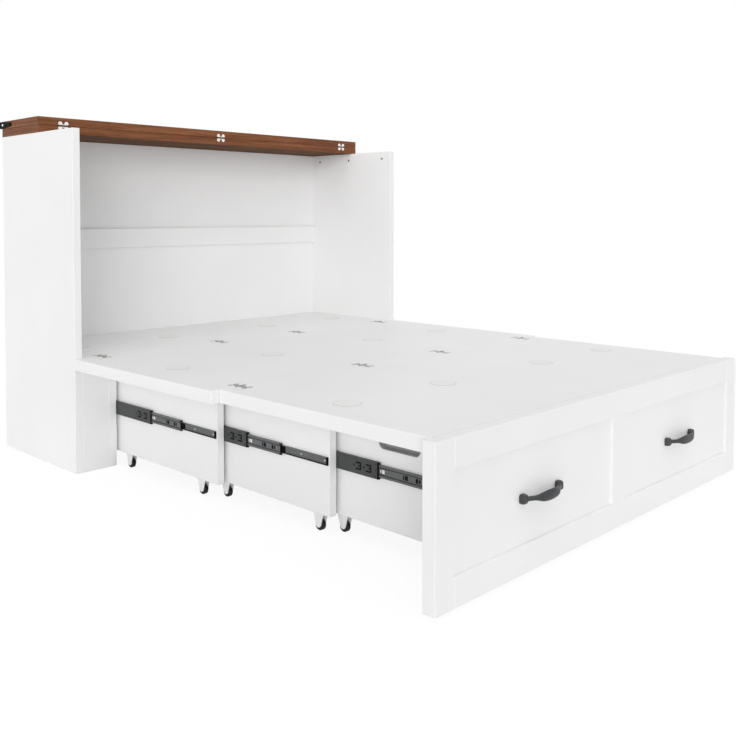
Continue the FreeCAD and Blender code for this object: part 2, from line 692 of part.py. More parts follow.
def fork_cheek(x):
    """A tapered cheek with a round end below the axle."""
    half = FORK_TOP_WIDTH / 2
    right, left = vec(x, FORK_END_RADIUS, FORK_END_Z), vec(x, -FORK_END_RADIUS, FORK_END_Z)
    top_right, top_left = vec(x, half, SECTION_BOTTOM), vec(x, -half, SECTION_BOTTOM)
    bottom = vec(x, 0, FORK_END_Z - FORK_END_RADIUS)
    edges = [
        Part.LineSegment(right, top_right).toShape(),
        Part.LineSegment(top_right, top_left).toShape(),
        Part.LineSegment(top_left, left).toShape(),
        Part.Arc(left, bottom, right).toShape(),
    ]
    return Part.Face(Part.Wire(edges)).extrude(vec(FORK_PLATE, 0, 0))


def caster_fork():
    """A bent plate over the wheel, with the axle riveted through its cheeks."""
    inner = WHEEL_WIDTH / 2 + WHEEL_SIDE_GAP
    outer = inner + FORK_PLATE
    half = FORK_TOP_WIDTH / 2
    top = box(-outer, outer, -half, half, SECTION_BOTTOM - FORK_PLATE, SECTION_BOTTOM)
    fork = top.fuse([fork_cheek(-outer), fork_cheek(inner)]).removeSplitter()
    hole = Part.makeCylinder(AXLE_RADIUS, 2 * outer, vec(-outer, 0, WHEEL_RADIUS), vec(1, 0, 0))
    return fork.cut(hole)


def caster_axle():
    outer = WHEEL_WIDTH / 2 + WHEEL_SIDE_GAP + FORK_PLATE
    return Part.makeCylinder(AXLE_RADIUS, 2 * outer, vec(-outer, 0, WHEEL_RADIUS), vec(1, 0, 0))


def wheel():
    """A moulded wheel with eased rims, turned about its axle."""
    half = WHEEL_WIDTH / 2
    bore = AXLE_RADIUS + AXLE_CLEARANCE
    rim = half - WHEEL_EASE
    edge = WHEEL_RADIUS - WHEEL_EASE
    outline = [
        vec(-half, 0, bore),
        vec(-half, 0, edge),
        vec(-rim, 0, WHEEL_RADIUS),
        vec(rim, 0, WHEEL_RADIUS),
        vec(half, 0, edge),
        vec(half, 0, bore),
    ]
    face = Part.Face(Part.makePolygon(outline + outline[:1]))
    return moved(face.revolve(vec(0, 0, 0), vec(1, 0, 0), 360), 0, 0, WHEEL_RADIUS)


def build_sections():
    fork, axle, roller = caster_fork(), caster_axle(), wheel()
    for stage in range(3):
        name = "section_" + str(stage + 1)
        save(name + "_sides", pair(section_side(stage)))
        save(name + "_rear_board", section_rear_board(stage))
        x, places = caster_places(stage)
        forks = [moved(fork, side * x, y, 0) for y in places for side in (1, -1)]
        axles = [moved(axle, side * x, y, 0) for y in places for side in (1, -1)]
        save(name + "_casters", Part.makeCompound(forks + axles))
        for label, y in zip(("front", "rear"), places):
            wheels = [moved(roller, side * x, y, 0) for side in (1, -1)]
            save(name + "_" + label + "_wheels", Part.makeCompound(wheels))


# Footboard


def footboard_openings():
    """The two framed openings, as (x0, x1)."""
    outer = HALF_WIDTH - STILE_WIDTH
    inner = MID_STILE_WIDTH / 2
    return (-outer, -inner), (inner, outer)


def panel_box(x0, x1, grow):
    reach = GROOVE_DEPTH + grow
    low = FOOTBOARD_BOTTOM + RAIL_HEIGHT - reach
    high = PLATFORM_TOP - RAIL_HEIGHT + reach
    rear = FOOTBOARD_PANEL_FRONT + FOOTBOARD_PANEL_THICKNESS + grow
    return box(x0 - reach, x1 + reach, FOOTBOARD_PANEL_FRONT - grow, rear, low, high)


def footboard_board(x0, x1, z0, z1):
    grooves = [panel_box(a, b, GROOVE_CLEARANCE) for a, b in footboard_openings()]
    return board(x0, x1, FOOTBOARD_FRONT, FOOTBOARD_REAR, z0, z1).cut(grooves)


def handle_centres():
    return [(a + b) / 2 for a, b in footboard_openings()]


def screw_places():
    return [x + side * HANDLE_SPAN / 2 for x in handle_centres() for side in (-1, 1)]


def screw_shank(x, radius, start, length):
    return Part.makeCylinder(radius, length, vec(x, start, HANDLE_CENTRE_Z), vec(0, 1, 0))


def build_footboard():
    outer = HALF_WIDTH - STILE_WIDTH
    low, high = FOOTBOARD_BOTTOM, PLATFORM_TOP
    rail_low, rail_high = low + RAIL_HEIGHT, high - RAIL_HEIGHT
    stile = footboard_board(-HALF_WIDTH, -outer, low, high)
    half = MID_STILE_WIDTH / 2
    middle = footboard_board(-half, half, rail_low, rail_high)
    save("footboard_stiles", Part.makeCompound([stile, mirrored(stile), middle]))
    rails = [footboard_board(-outer, outer, low, rail_low), footboard_board(-outer, outer, rail_high, high)]
    save("footboard_rails", Part.makeCompound(rails))
    bores = [
        screw_shank(x, SCREW_RADIUS, FOOTBOARD_PANEL_FRONT, FOOTBOARD_PANEL_THICKNESS)
        for x in screw_places()
    ]
    panels = [panel_box(a, b, 0.0).cut(bores) for a, b in footboard_openings()]
    save("footboard_panels", Part.makeCompound(panels))


# Cast pulls, modelled round the middle of the grip with -Y outwards


def octagon(centre, across, up, width, height):
    """A closed eight-sided section, flat-topped, round a centre."""
    corner = math.tan(math.pi / 8)
    spots = [(1, corner), (corner, 1), (-corner, 1), (-1, corner)]
    spots += [(-a, -b) for a, b in spots]
    points = [centre + across * (a * width / 2) + up * (b * height / 2) for a, b in spots]
    return Part.makePolygon(points + points[:1])


def pull_grip():
    """The bowed bar: slanting necks that swell to a faceted grip."""
    half = HANDLE_SPAN / 2
    grip_y = -HANDLE_PROJECTION + HANDLE_GRIP_DEPTH / 2
    neck_y = grip_y + HANDLE_GRIP_DEPTH / 4
    root_y = -HANDLE_FOOT_DEPTH / 2
    stations = [
        (half, root_y, HANDLE_NECK, HANDLE_NECK),
        (half - HANDLE_SHOULDER, neck_y, HANDLE_NECK, HANDLE_NECK),
        (HANDLE_GRIP_LENGTH / 2, grip_y, HANDLE_GRIP_DEPTH, HANDLE_GRIP_HEIGHT),
    ]
    stations += [(-x, y, depth, height) for x, y, depth, height in reversed(stations)]
    out, up = vec(0, 1, 0), vec(0, 0, 1)
    wires = [octagon(vec(x, y, 0), out, up, depth, height) for x, y, depth, height in stations]
    return Part.makeLoft(wires, True, True)


def pull_foot(side):
    """A cast block with a tapered nose, which takes the end of the bar."""
    x = side * HANDLE_SPAN / 2
    across, up = vec(1, 0, 0), vec(0, 0, 1)
    nose = HANDLE_FOOT_TAPER
    stations = [(0.0, 1.0), (-0.7 * HANDLE_FOOT_DEPTH, 1.0), (-HANDLE_FOOT_DEPTH, nose)]
    wires = [
        octagon(vec(x, y, 0), across, up, share * HANDLE_FOOT_WIDTH, share * HANDLE_FOOT_HEIGHT)
        for y, share in stations
    ]
    return Part.makeLoft(wires, True, True)


def build_handles():
    blank = pull_grip().fuse([pull_foot(-1), pull_foot(1)]).removeSplitter()
    start = FOOTBOARD_PANEL_FRONT - SCREW_REACH
    for name, x in zip(("handle_left", "handle_right"), handle_centres()):
        pull = moved(blank, x, FOOTBOARD_PANEL_FRONT, HANDLE_CENTRE_Z)
        holes = [screw_shank(spot, SCREW_RADIUS, start, SCREW_REACH) for spot in screw_places()]
        save(name, pull.cut(holes))
    head_y = FOOTBOARD_PANEL_FRONT + FOOTBOARD_PANEL_THICKNESS
    screws = []
    for x in screw_places():
        shank = screw_shank(x, SCREW_RADIUS, start, head_y - start)
        head = screw_shank(x, SCREW_HEAD_RADIUS, head_y, SCREW_HEAD_THICKNESS)
        screws.append(shank.fuse(head).removeSplitter())
    save("handle_screws", Part.makeCompound(screws))


os.makedirs("parts", exist_ok=True)
build_cabinet()
build_lid()
build_front_panel()
build_foot_panel()
build_slides()
build_sections()
build_footboard()
build_handles()
print("shift_y", SHIFT_Y, "head axis", HEAD_AXIS_Y, DECK_AXIS_Z, "foot axis", FOOT_AXIS_Y)
print("lid axis", LID_AXIS_Y, LID_AXIS_Z, "travels", STAGE_TRAVEL, OUTER_TRAVEL, MIDDLE_TRAVEL)
print("section rears", SECTION_REARS, "closed front", CLOSED_FRONT)
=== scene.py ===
# %% [markdown]
# A cabinet bed, opened out. The solids come in as a fixed frame, in metres, and this lesson dresses them:
# finishes for every board and fitting, the small fittings that a solid model leaves plain, a studio and a
# camera.

# %% Load the frame
import json
import math

import bmesh
import bpy
from mathutils import Matrix, Vector


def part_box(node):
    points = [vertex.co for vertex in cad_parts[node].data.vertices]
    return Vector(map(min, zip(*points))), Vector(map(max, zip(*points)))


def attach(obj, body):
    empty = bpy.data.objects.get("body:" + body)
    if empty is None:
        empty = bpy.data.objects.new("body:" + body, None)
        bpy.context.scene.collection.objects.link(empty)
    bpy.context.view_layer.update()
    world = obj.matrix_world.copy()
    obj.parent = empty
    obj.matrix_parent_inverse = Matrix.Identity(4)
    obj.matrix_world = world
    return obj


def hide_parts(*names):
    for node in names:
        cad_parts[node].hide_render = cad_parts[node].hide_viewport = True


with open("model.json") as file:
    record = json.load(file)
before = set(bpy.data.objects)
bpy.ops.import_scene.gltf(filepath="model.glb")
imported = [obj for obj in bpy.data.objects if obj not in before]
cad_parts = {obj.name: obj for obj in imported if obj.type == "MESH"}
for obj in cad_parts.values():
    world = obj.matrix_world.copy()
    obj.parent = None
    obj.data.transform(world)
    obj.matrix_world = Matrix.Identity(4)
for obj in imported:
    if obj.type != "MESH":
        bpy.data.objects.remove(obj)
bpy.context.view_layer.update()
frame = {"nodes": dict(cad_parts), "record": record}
MM = 0.001
STAGES = (1, 2, 3)

# %% [markdown]
# Colours are written as hex values, the way a paint chart gives them. The shader works with linear light,
# so one function turns a hex value into linear numbers. It could be done once by hand for each colour, but
# then nobody could compare the colours with a chart again.

# %% Colours


def linear(hex_colour):
    """An sRGB hex value as linear RGBA."""
    digits = hex_colour.lstrip("#")
    levels = [int(digits[i:i + 2], 16) / 255 for i in (0, 2, 4)]
    light = [c / 12.92 if c <= 0.04045 else ((c + 0.055) / 1.055) ** 2.4 for c in levels]
    return (*light, 1.0)


print("mid grey in linear light:", round(linear("#808080")[0], 3))

# %% [markdown]
# A finish is a small network of shader nodes. It could be drawn by hand in the node editor. Here one
# function adds a node and wires it up, which keeps each finish short enough to read as a recipe.

# %% Node helpers
# A Mix node has several sockets of one name, so they are told apart by their place in the list.
MIX_SHARE = 0
MIX_VECTORS = (4, 5)
MIX_COLOURS = (6, 7)
MIX_VECTOR_OUT = 1
MIX_COLOUR_OUT = 2
# Most of a noise pattern's values lie between these two.
NOISE_SPAN = (0.3, 0.7)


def add_node(tree, kind, settings=None, inputs=None, links=None):
    """Adds one node, sets its properties and sockets, and links sockets from other nodes."""
    node = tree.nodes.new(kind)
    for name, value in (settings or {}).items():
        setattr(node, name, value)
    for name, value in (inputs or {}).items():
        node.inputs[name].default_value = value
    for name, source in (links or {}).items():
        tree.links.new(source, node.inputs[name])
    return node


def new_finish(name):
    """An empty material: its node tree, its surface shader and its object coordinates."""
    material = bpy.data.materials.new(name)
    material.use_nodes = True
    tree = material.node_tree
    tree.nodes.clear()
    shader = add_node(tree, "ShaderNodeBsdfPrincipled")
    add_node(tree, "ShaderNodeOutputMaterial", links={"Surface": shader.outputs["BSDF"]})
    place = add_node(tree, "ShaderNodeTexCoord").outputs["Object"]
    return material, tree, shader, place


def set_ramp(ramp, stops):
    """Puts colour stops on a ramp node."""
    line = ramp.color_ramp
    while len(line.elements) > len(stops):
        line.elements.remove(line.elements[-1])
    while len(line.elements) < len(stops):
        line.elements.new(1.0)
    for element, (position, colour) in zip(line.elements, stops):
        element.position = position
        element.color = colour


def two_tones(deep, pale):
    """Ramp stops that turn a noise into a change between two close colours."""
    return list(zip(NOISE_SPAN, (linear(deep), linear(pale))))


def per_metre(size_mm):
    """A noise scale whose features are about this many millimetres across."""
    return 1.0 / (size_mm * MM)


print("scale of a 6 mm pattern:", round(per_metre(6), 1), "per metre")

# %% [markdown]
# The boards are MDF sprayed with a satin white lacquer. Sprayed paint is not dead flat: it dries with a
# very slight ripple, called orange peel, about 1 to 2 mm across. That is too fine to see from across a
# room, so it is drawn at 6 mm and kept shallow. A broad, faint tone change stops large panels from looking
# printed.

# %% White lacquered board
BROAD_TONE_MM = 420
PEEL_MM = 6
LACQUER_IOR = 1.46


def white_lacquer():
    """Satin lacquer: nearly one white, with a shallow ripple and a slightly uneven rub."""
    material, tree, shader, place = new_finish("white_satin_lacquer_on_mdf")
    tone = add_node(tree, "ShaderNodeTexNoise", inputs={"Scale": per_metre(BROAD_TONE_MM), "Detail": 3.0},
                    links={"Vector": place})
    ramp = add_node(tree, "ShaderNodeValToRGB", links={"Fac": tone.outputs["Fac"]})
    set_ramp(ramp, two_tones("#F2F2F2", "#F6F6F6"))
    tree.links.new(ramp.outputs["Color"], shader.inputs["Base Color"])
    peel = add_node(tree, "ShaderNodeTexNoise", inputs={"Scale": per_metre(PEEL_MM), "Detail": 2.0},
                    links={"Vector": place})
    bump = add_node(tree, "ShaderNodeBump", inputs={"Strength": 0.05, "Distance": 0.1 * MM},
                    links={"Height": peel.outputs["Fac"]})
    tree.links.new(bump.outputs["Normal"], shader.inputs["Normal"])
    rub = add_node(tree, "ShaderNodeMapRange", inputs={"To Min": 0.40, "To Max": 0.50},
                   links={"Value": tone.outputs["Fac"]})
    tree.links.new(rub.outputs["Result"], shader.inputs["Roughness"])
    shader.inputs["IOR"].default_value = LACQUER_IOR
    return material


WHITE = white_lacquer()
print("finish:", WHITE.name)

# %% [markdown]
# The lid is veneered with walnut. Its grain runs along the lid, and on the end faces from front to back. A
# picture of wood would have to be unwrapped onto each face. A noise that is stretched along X needs no
# unwrapping, and on the end faces, which look along X, the pattern's X and Y change places.

# %% Grain of the veneer
# A face is an end face when its normal lies this far along X.
END_FACING = 0.7
# Length and width of each size of grain in mm, broad figure first, then streaks, then pores
GRAINS = [
    (420, 14, {"Detail": 4.0, "Roughness": 0.55, "Distortion": 0.6}),
    (160, 3, {"Detail": 5.0, "Roughness": 0.65}),
    (26, 1.1, {"Detail": 2.0}),
]


def turned_at_ends(tree, place):
    """Coordinates for the grain, with X and Y exchanged on the end faces."""
    facing = add_node(tree, "ShaderNodeTexCoord").outputs["Normal"]
    sideways = add_node(tree, "ShaderNodeSeparateXYZ", links={"Vector": facing}).outputs["X"]
    size = add_node(tree, "ShaderNodeMath", settings={"operation": "ABSOLUTE"}, links={0: sideways})
    at_end = add_node(tree, "ShaderNodeMath", settings={"operation": "GREATER_THAN"}, inputs={1: END_FACING},
                      links={0: size.outputs[0]})
    part = add_node(tree, "ShaderNodeSeparateXYZ", links={"Vector": place}).outputs
    swapped = add_node(tree, "ShaderNodeCombineXYZ", links={"X": part["Y"], "Y": part["X"], "Z": part["Z"]})
    either = add_node(tree, "ShaderNodeMix", settings={"data_type": "VECTOR"},
                      links={MIX_SHARE: at_end.outputs[0], MIX_VECTORS[0]: place,
                             MIX_VECTORS[1]: swapped.outputs[0]})
    return either.outputs[MIX_VECTOR_OUT]


def grain_patterns(tree, place):
    """One stretched noise for each size of grain."""
    patterns = []
    for along_mm, across_mm, detail in GRAINS:
        scale = (per_metre(along_mm), per_metre(across_mm), per_metre(across_mm))
        laid = add_node(tree, "ShaderNodeMapping", inputs={"Scale": scale}, links={"Vector": place})
        noise = add_node(tree, "ShaderNodeTexNoise", inputs={"Scale": 1.0, **detail},
                         links={"Vector": laid.outputs["Vector"]})
        patterns.append(noise.outputs["Fac"])
    return patterns


print("sizes of grain across:", [across_mm for _, across_mm, _ in GRAINS], "mm")

# %% [markdown]
# The veneer is stained and has a satin clear coat. Broad figure about 14 mm wide and streaks about 3 mm
# wide give the browns, and pores darken them. Real pores are about 0.3 mm wide, too fine for this render,
# so they are drawn at 1.1 mm. The rear board's underside is painted greyer and darker as shade, and it
# hardly shines, as wood with no clear coat.

# %% Walnut-stained lid
BROWNS = [(0.34, linear("#5A3420")), (0.48, linear("#7B4C2F")), (0.58, linear("#8B593B")),
          (0.70, linear("#986746"))]
PORE_TONES = [(0.30, linear("#B89888")), (0.42, linear("#FFFFFF"))]
# Painted shade: the tone that darkens the lid's underside
UNDERSIDE_SHADE_TONE = linear("#C2CDD2")
FIGURE_SHARE = 0.55
STREAK_SHARE = 0.45
PORE_SHARE = 0.8
COATED_SHINE = 0.2
BARE_SHINE = 0.03
UNDERSIDE_SKIN = 0.2 * MM
MULTIPLIED = {"data_type": "RGBA", "blend_type": "MULTIPLY"}


def stain_colour(tree, figure, streak, pores):
    """Browns from figure and streaks together, with darker pores over them."""
    broad = add_node(tree, "ShaderNodeMath", settings={"operation": "MULTIPLY"}, inputs={1: FIGURE_SHARE},
                     links={0: figure})
    both = add_node(tree, "ShaderNodeMath", settings={"operation": "MULTIPLY_ADD"}, inputs={1: STREAK_SHARE},
                    links={0: streak, 2: broad.outputs[0]})
    brown = add_node(tree, "ShaderNodeValToRGB", links={"Fac": both.outputs[0]})
    set_ramp(brown, BROWNS)
    dark = add_node(tree, "ShaderNodeValToRGB", links={"Fac": pores})
    set_ramp(dark, PORE_TONES)
    stain = add_node(tree, "ShaderNodeMix", settings=MULTIPLIED, inputs={MIX_SHARE: PORE_SHARE},
                     links={MIX_COLOURS[0]: brown.outputs["Color"], MIX_COLOURS[1]: dark.outputs["Color"]})
    return stain.outputs[MIX_COLOUR_OUT]


def shaded_underside(tree, shader, place, stain, below):
    """The stain's colour, painted darker and greyer below a height, in metres, as shade. The shine drops
    there too, as on wood with no clear coat.
    """
    height = add_node(tree, "ShaderNodeSeparateXYZ", links={"Vector": place}).outputs["Z"]
    underside_mask = add_node(tree, "ShaderNodeMath", settings={"operation": "LESS_THAN"}, inputs={1: below},
                    links={0: height}).outputs[0]
    under = add_node(tree, "ShaderNodeMix", settings=MULTIPLIED, inputs={MIX_COLOURS[1]: UNDERSIDE_SHADE_TONE},
                     links={MIX_SHARE: underside_mask, MIX_COLOURS[0]: stain})
    dull = add_node(tree, "ShaderNodeMapRange", inputs={"To Min": COATED_SHINE, "To Max": BARE_SHINE},
                    links={"Value": underside_mask})
    tree.links.new(dull.outputs["Result"], shader.inputs["Specular IOR Level"])
    return under.outputs[MIX_COLOUR_OUT]


def walnut_stain(name, shade_below=None):
    """Stained veneer under a satin clear coat. Below the height shade_below, in metres, the colour is painted
    darker as shade and the coat's shine ends.
    """
    material, tree, shader, place = new_finish(name)
    place = turned_at_ends(tree, place)
    figure, streak, pores = grain_patterns(tree, place)
    surface = stain_colour(tree, figure, streak, pores)
    if shade_below:
        surface = shaded_underside(tree, shader, place, surface, shade_below)
    tree.links.new(surface, shader.inputs["Base Color"])
    bump = add_node(tree, "ShaderNodeBump", inputs={"Strength": 0.25, "Distance": 0.15 * MM},
                    links={"Height": pores})
    tree.links.new(bump.outputs["Normal"], shader.inputs["Normal"])
    sheen = add_node(tree, "ShaderNodeMapRange", inputs={"To Min": 0.50, "To Max": 0.62},
                     links={"Value": streak})
    tree.links.new(sheen.outputs["Result"], shader.inputs["Roughness"])
    shader.inputs["IOR"].default_value = 1.5
    shader.inputs["Specular IOR Level"].default_value = COATED_SHINE
    return material


WALNUT = walnut_stain("walnut_stained_veneer")
lid_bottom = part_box("lid_rear_board")[0][2]
# The rear board's bottom face is painted darker as shade.
WALNUT_SHADED_BELOW = walnut_stain("walnut_stained_veneer_shaded_below", lid_bottom + UNDERSIDE_SKIN)
print("finishes:", WALNUT.name, WALNUT_SHADED_BELOW.name)

# %% [markdown]
# Lid hinges are bright nickel plate and most screws are zinc plate. The deck hinges are the same nickel
# plate, rougher, and painted greyer as shade.
# Plate is thin and follows the rolling marks of the steel under it, so a fine noise varies tone and polish.
# The lid hinges' knuckles lie in a groove between two brown edges. Along the groove the plate is tinted a
# darker brown: a painted reflection of the wood, and painted shade.

# %% Plated metal
ROLLING_MARKS_MM = 4
# A band round the pin's height is tinted brown: painted reflection of the wood, and painted shade.
REFLECTION_HALF_BAND = 3.4 * MM
PAINTED_WOOD_REFLECTION = linear("#7A5440")


def plated(name, pale, deep, roughness, reflection_z=None):
    """Plated metal. Near the height reflection_z, in metres, a brown tint paints the wood's reflection and
    shade.
    """
    material, tree, shader, place = new_finish(name)
    marks = add_node(tree, "ShaderNodeTexNoise", inputs={"Scale": per_metre(ROLLING_MARKS_MM), "Detail": 4.0},
                     links={"Vector": place})
    ramp = add_node(tree, "ShaderNodeValToRGB", links={"Fac": marks.outputs["Fac"]})
    set_ramp(ramp, two_tones(deep, pale))
    surface = ramp.outputs["Color"]
    if reflection_z:
        height = add_node(tree, "ShaderNodeSeparateXYZ", links={"Vector": place}).outputs["Z"]
        near = add_node(tree, "ShaderNodeMath", settings={"operation": "COMPARE"},
                        inputs={1: reflection_z, 2: REFLECTION_HALF_BAND}, links={0: height})
        mirrored = add_node(tree, "ShaderNodeMix", settings=MULTIPLIED,
                            inputs={MIX_COLOURS[1]: PAINTED_WOOD_REFLECTION},
                            links={MIX_SHARE: near.outputs[0], MIX_COLOURS[0]: surface})
        surface = mirrored.outputs[MIX_COLOUR_OUT]
    tree.links.new(surface, shader.inputs["Base Color"])
    polish = add_node(tree, "ShaderNodeMapRange",
                      inputs={"To Min": roughness - 0.05, "To Max": roughness + 0.08},
                      links={"Value": marks.outputs["Fac"]})
    tree.links.new(polish.outputs["Result"], shader.inputs["Roughness"])
    shader.inputs["Metallic"].default_value = 1.0
    return material


NICKEL = plated("bright_nickel_plate", "#F6F5F3", "#E8E7E4", 0.26)
leaf_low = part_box("lid_hinge_rear_leaves")[0][2]
leaf_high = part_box("lid_hinge_front_leaves")[1][2]
pin_height = (leaf_low + leaf_high) / 2
# The lid hinges' plate, with the painted reflection and shade along the groove
NICKEL_WITH_PAINTED_REFLECTION = plated("bright_nickel_plate_painted_wood_reflection", "#F6F5F3", "#E8E7E4", 0.26, pin_height)
ZINC = plated("zinc_plated_steel", "#DCDDDE", "#BFC1C3", 0.32)
# The deck hinges' nickel, painted greyer as shade
SHADED_NICKEL = plated("nickel_plate_painted_greyer", "#B2B2B0", "#989896", 0.45)
print("plated:", ", ".join(item.name for item in (NICKEL, NICKEL_WITH_PAINTED_REFLECTION, ZINC, SHADED_NICKEL)))

# %% [markdown]
# Slides are dipped in a dark or grey electro-coat, and pulls and caster forks are powder coated. Powder
# melts into a fine pebble, about 1 mm across, drawn here at 2 mm so that it shows. A coat hides the metal,
# so it is shaded as paint and not as metal, with a low gloss where it is dull.

# %% Coated metal
COAT_TONE_MM = 60


def coated(name, pale, deep, roughness, pebble_mm, depth_mm, gloss=0.5):
    """A coat on metal or a moulded skin: a fine pebble in the bump and a faint change of tone."""
    material, tree, shader, place = new_finish(name)
    pebble = add_node(tree, "ShaderNodeTexNoise", inputs={"Scale": per_metre(pebble_mm), "Detail": 2.0},
                      links={"Vector": place})
    tone = add_node(tree, "ShaderNodeTexNoise", inputs={"Scale": per_metre(COAT_TONE_MM), "Detail": 3.0},
                    links={"Vector": place})
    ramp = add_node(tree, "ShaderNodeValToRGB", links={"Fac": tone.outputs["Fac"]})
    set_ramp(ramp, two_tones(deep, pale))
    tree.links.new(ramp.outputs["Color"], shader.inputs["Base Color"])
    bump = add_node(tree, "ShaderNodeBump", inputs={"Strength": 0.2, "Distance": depth_mm * MM},
                    links={"Height": pebble.outputs["Fac"]})
    tree.links.new(bump.outputs["Normal"], shader.inputs["Normal"])
    rub = add_node(tree, "ShaderNodeMapRange",
                   inputs={"To Min": roughness - 0.06, "To Max": roughness + 0.06},
                   links={"Value": tone.outputs["Fac"]})
    tree.links.new(rub.outputs["Result"], shader.inputs["Roughness"])
    shader.inputs["IOR"].default_value = 1.5
    shader.inputs["Specular IOR Level"].default_value = gloss
    return material


SLIDE_COAT = coated("dark_electro_coated_steel", "#4B4C4D", "#414243", 0.42, 3, 0.04, 0.2)
MEMBER_COAT = coated("grey_electro_coated_steel", "#6A6B6C", "#5F6061", 0.40, 3, 0.04, 0.25)
CAST_COAT = coated("powder_coated_casting", "#48494B", "#3A3B3D", 0.42, 2, 0.08, 0.25)
WHITE_COAT = coated("white_powder_coat", "#F0F0F0", "#EAEAEA", 0.40, 2, 0.05)
print("coated:", ", ".join(item.name for item in (SLIDE_COAT, MEMBER_COAT, CAST_COAT, WHITE_COAT)))

# %% [markdown]
# The plastics are moulded: hard black wheels, black stops in the slides, grey caps over the connectors,
# off-white round pads let into the platform and rubber straps on the lid. The stops' black and the caps'
# grey also colour pieces of painted shade in the slides and round the pads, and a grey lining paints the
# shade in the hand holes. A moulded skin has a dull, even grain, which is what the coat's recipe gives too,
# so the same function makes them.

# %% Moulded plastic
WHEEL_BLACK = coated("moulded_black_nylon", "#242425", "#1A1A1B", 0.48, 2, 0.06, 0.2)
# Black of the stops, levers and caps, and of the black pieces of painted shade in the slides
BLACK_ACETAL_AND_SHADE = coated("moulded_black_acetal_and_painted_shade", "#101011", "#0A0A0B", 0.5, 2, 0.05, 0.06)
# Grey of the caps and catches, and of the rings of painted shade round the pads
GREY_CAP_AND_GAP_SHADE = coated("moulded_grey_cap_and_painted_gap_shade", "#7B7B7C", "#6E6E6F", 0.5, 2, 0.05)
PAD_WHITE = coated("moulded_off_white_pad", "#F4F4F3", "#F0F0EF", 0.55, 2, 0.06)
STRAP_BLACK = coated("moulded_black_rubber", "#181819", "#101011", 0.7, 2, 0.06, 0.1)
CLIP_WHITE = coated("moulded_natural_nylon", "#E9E8E4", "#DDDCD8", 0.5, 2, 0.05)
# Grey of the lining that paints the shade in the hand holes
LINING_SHADE_GREY = coated("painted_hole_shade_grey", "#B4B4B5", "#A6A6A7", 0.5, 2, 0.06, 0.2)
PLASTICS = (WHEEL_BLACK, BLACK_ACETAL_AND_SHADE, GREY_CAP_AND_GAP_SHADE, PAD_WHITE, STRAP_BLACK, CLIP_WHITE, LINING_SHADE_GREY)
print("moulded:", ", ".join(item.name for item in PLASTICS))

# %% [markdown]
# Each solid names the slot that it takes its finish from. The finishes could be handed out one solid at a
# time, but a dictionary pairs the slots with the finishes above, so every solid gets its material in one
# loop and none is forgotten. A few solids then get a finish of their own.

# %% Finish every solid
FINISH_OF_SLOT = {
    "white_painted_board": WHITE,
    "brown_stained_wood": WALNUT,
    "bright_hinge_metal": NICKEL,
    "steel_screws": ZINC,
    "dark_cap_plastic": GREY_CAP_AND_GAP_SHADE,
    "pale_pad_plastic": PAD_WHITE,
    "dark_coated_steel": SLIDE_COAT,
    "black_cast_metal": CAST_COAT,
    "white_coated_metal": WHITE_COAT,
    "black_wheel_plastic": WHEEL_BLACK,
}
for entry in frame["record"]["subparts"]:
    solid = frame["nodes"][entry["node"]]
    solid.data.materials.clear()
    solid.data.materials.append(FINISH_OF_SLOT[entry["material_slot"]])
OWN_FINISH = {
    "lid_pulls": STRAP_BLACK,
    "lid_rear_board": WALNUT_SHADED_BELOW,
    "lid_hinge_rear_leaves": NICKEL_WITH_PAINTED_REFLECTION,
    "lid_hinge_front_leaves": NICKEL_WITH_PAINTED_REFLECTION,
    "head_hinge_deck_leaves": SHADED_NICKEL,
    "head_hinge_panel_leaves": SHADED_NICKEL,
    "foot_hinge_front_leaves": SHADED_NICKEL,
    "foot_hinge_foot_leaves": SHADED_NICKEL,
}
for stage in STAGES:
    OWN_FINISH["stage_%d_middle_members" % stage] = MEMBER_COAT
    OWN_FINISH["stage_%d_inner_members" % stage] = MEMBER_COAT
for name, finish in OWN_FINISH.items():
    frame["nodes"][name].data.materials[0] = finish

# %% [markdown]
# Small fittings are mostly blocks and turnings. A real moulded or pressed edge is never sharp, so a block
# gets rounded edges, and a screw head or peg is spun from its profile, as a lathe would make it. Ready-made
# cubes and cylinders would keep hard edges that never catch the light.

# %% Blocks and turnings
# A radius below this is a point on the axis.
TIP = 1e-7


def eased_block(mesh, low, high, ease):
    """Adds a block between two corners, with its edges rounded."""
    low, high = Vector(low), Vector(high)
    made = bmesh.ops.create_cube(mesh, size=1.0)
    size = high - low
    middle = (high + low) / 2
    for vert in made["verts"]:
        vert.co = Vector([vert.co[i] * size[i] + middle[i] for i in range(3)])
    edges = {edge for vert in made["verts"] for edge in vert.link_edges}
    bmesh.ops.bevel(mesh, geom=list(edges), offset=ease, segments=2, affect="EDGES", profile=0.5)


def profile(*points):
    """A profile for turning: (radius, height) points in millimetres."""
    return [(radius * MM, height * MM) for radius, height in points]


def turned(mesh, outline, place, axis, steps=20):
    """Adds an outline spun round an axis through a place. An open outline gets a flat bottom."""
    spin = Vector((0, 0, 1)).rotation_difference(Vector(axis)).to_matrix().to_4x4()
    spot = Matrix.Translation(Vector(place)) @ spin
    turns = [2 * math.pi * k / steps for k in range(steps)]
    rings = []
    for radius, height in outline:
        if radius < TIP:
            ring = [Vector((0, 0, height))]
        else:
            ring = [Vector((radius * math.cos(t), radius * math.sin(t), height)) for t in turns]
        rings.append([mesh.verts.new(spot @ point) for point in ring])
    for below, above in zip(rings, rings[1:]):
        for k in range(steps):
            n = (k + 1) % steps
            around = ((below, k), (below, n), (above, n), (above, k))
            corners = [ring[step % len(ring)] for ring, step in around]
            mesh.faces.new(list(dict.fromkeys(corners)))
    if outline[0] != outline[-1]:
        mesh.faces.new(list(reversed(rings[0])))


print("blocks and turnings ready")

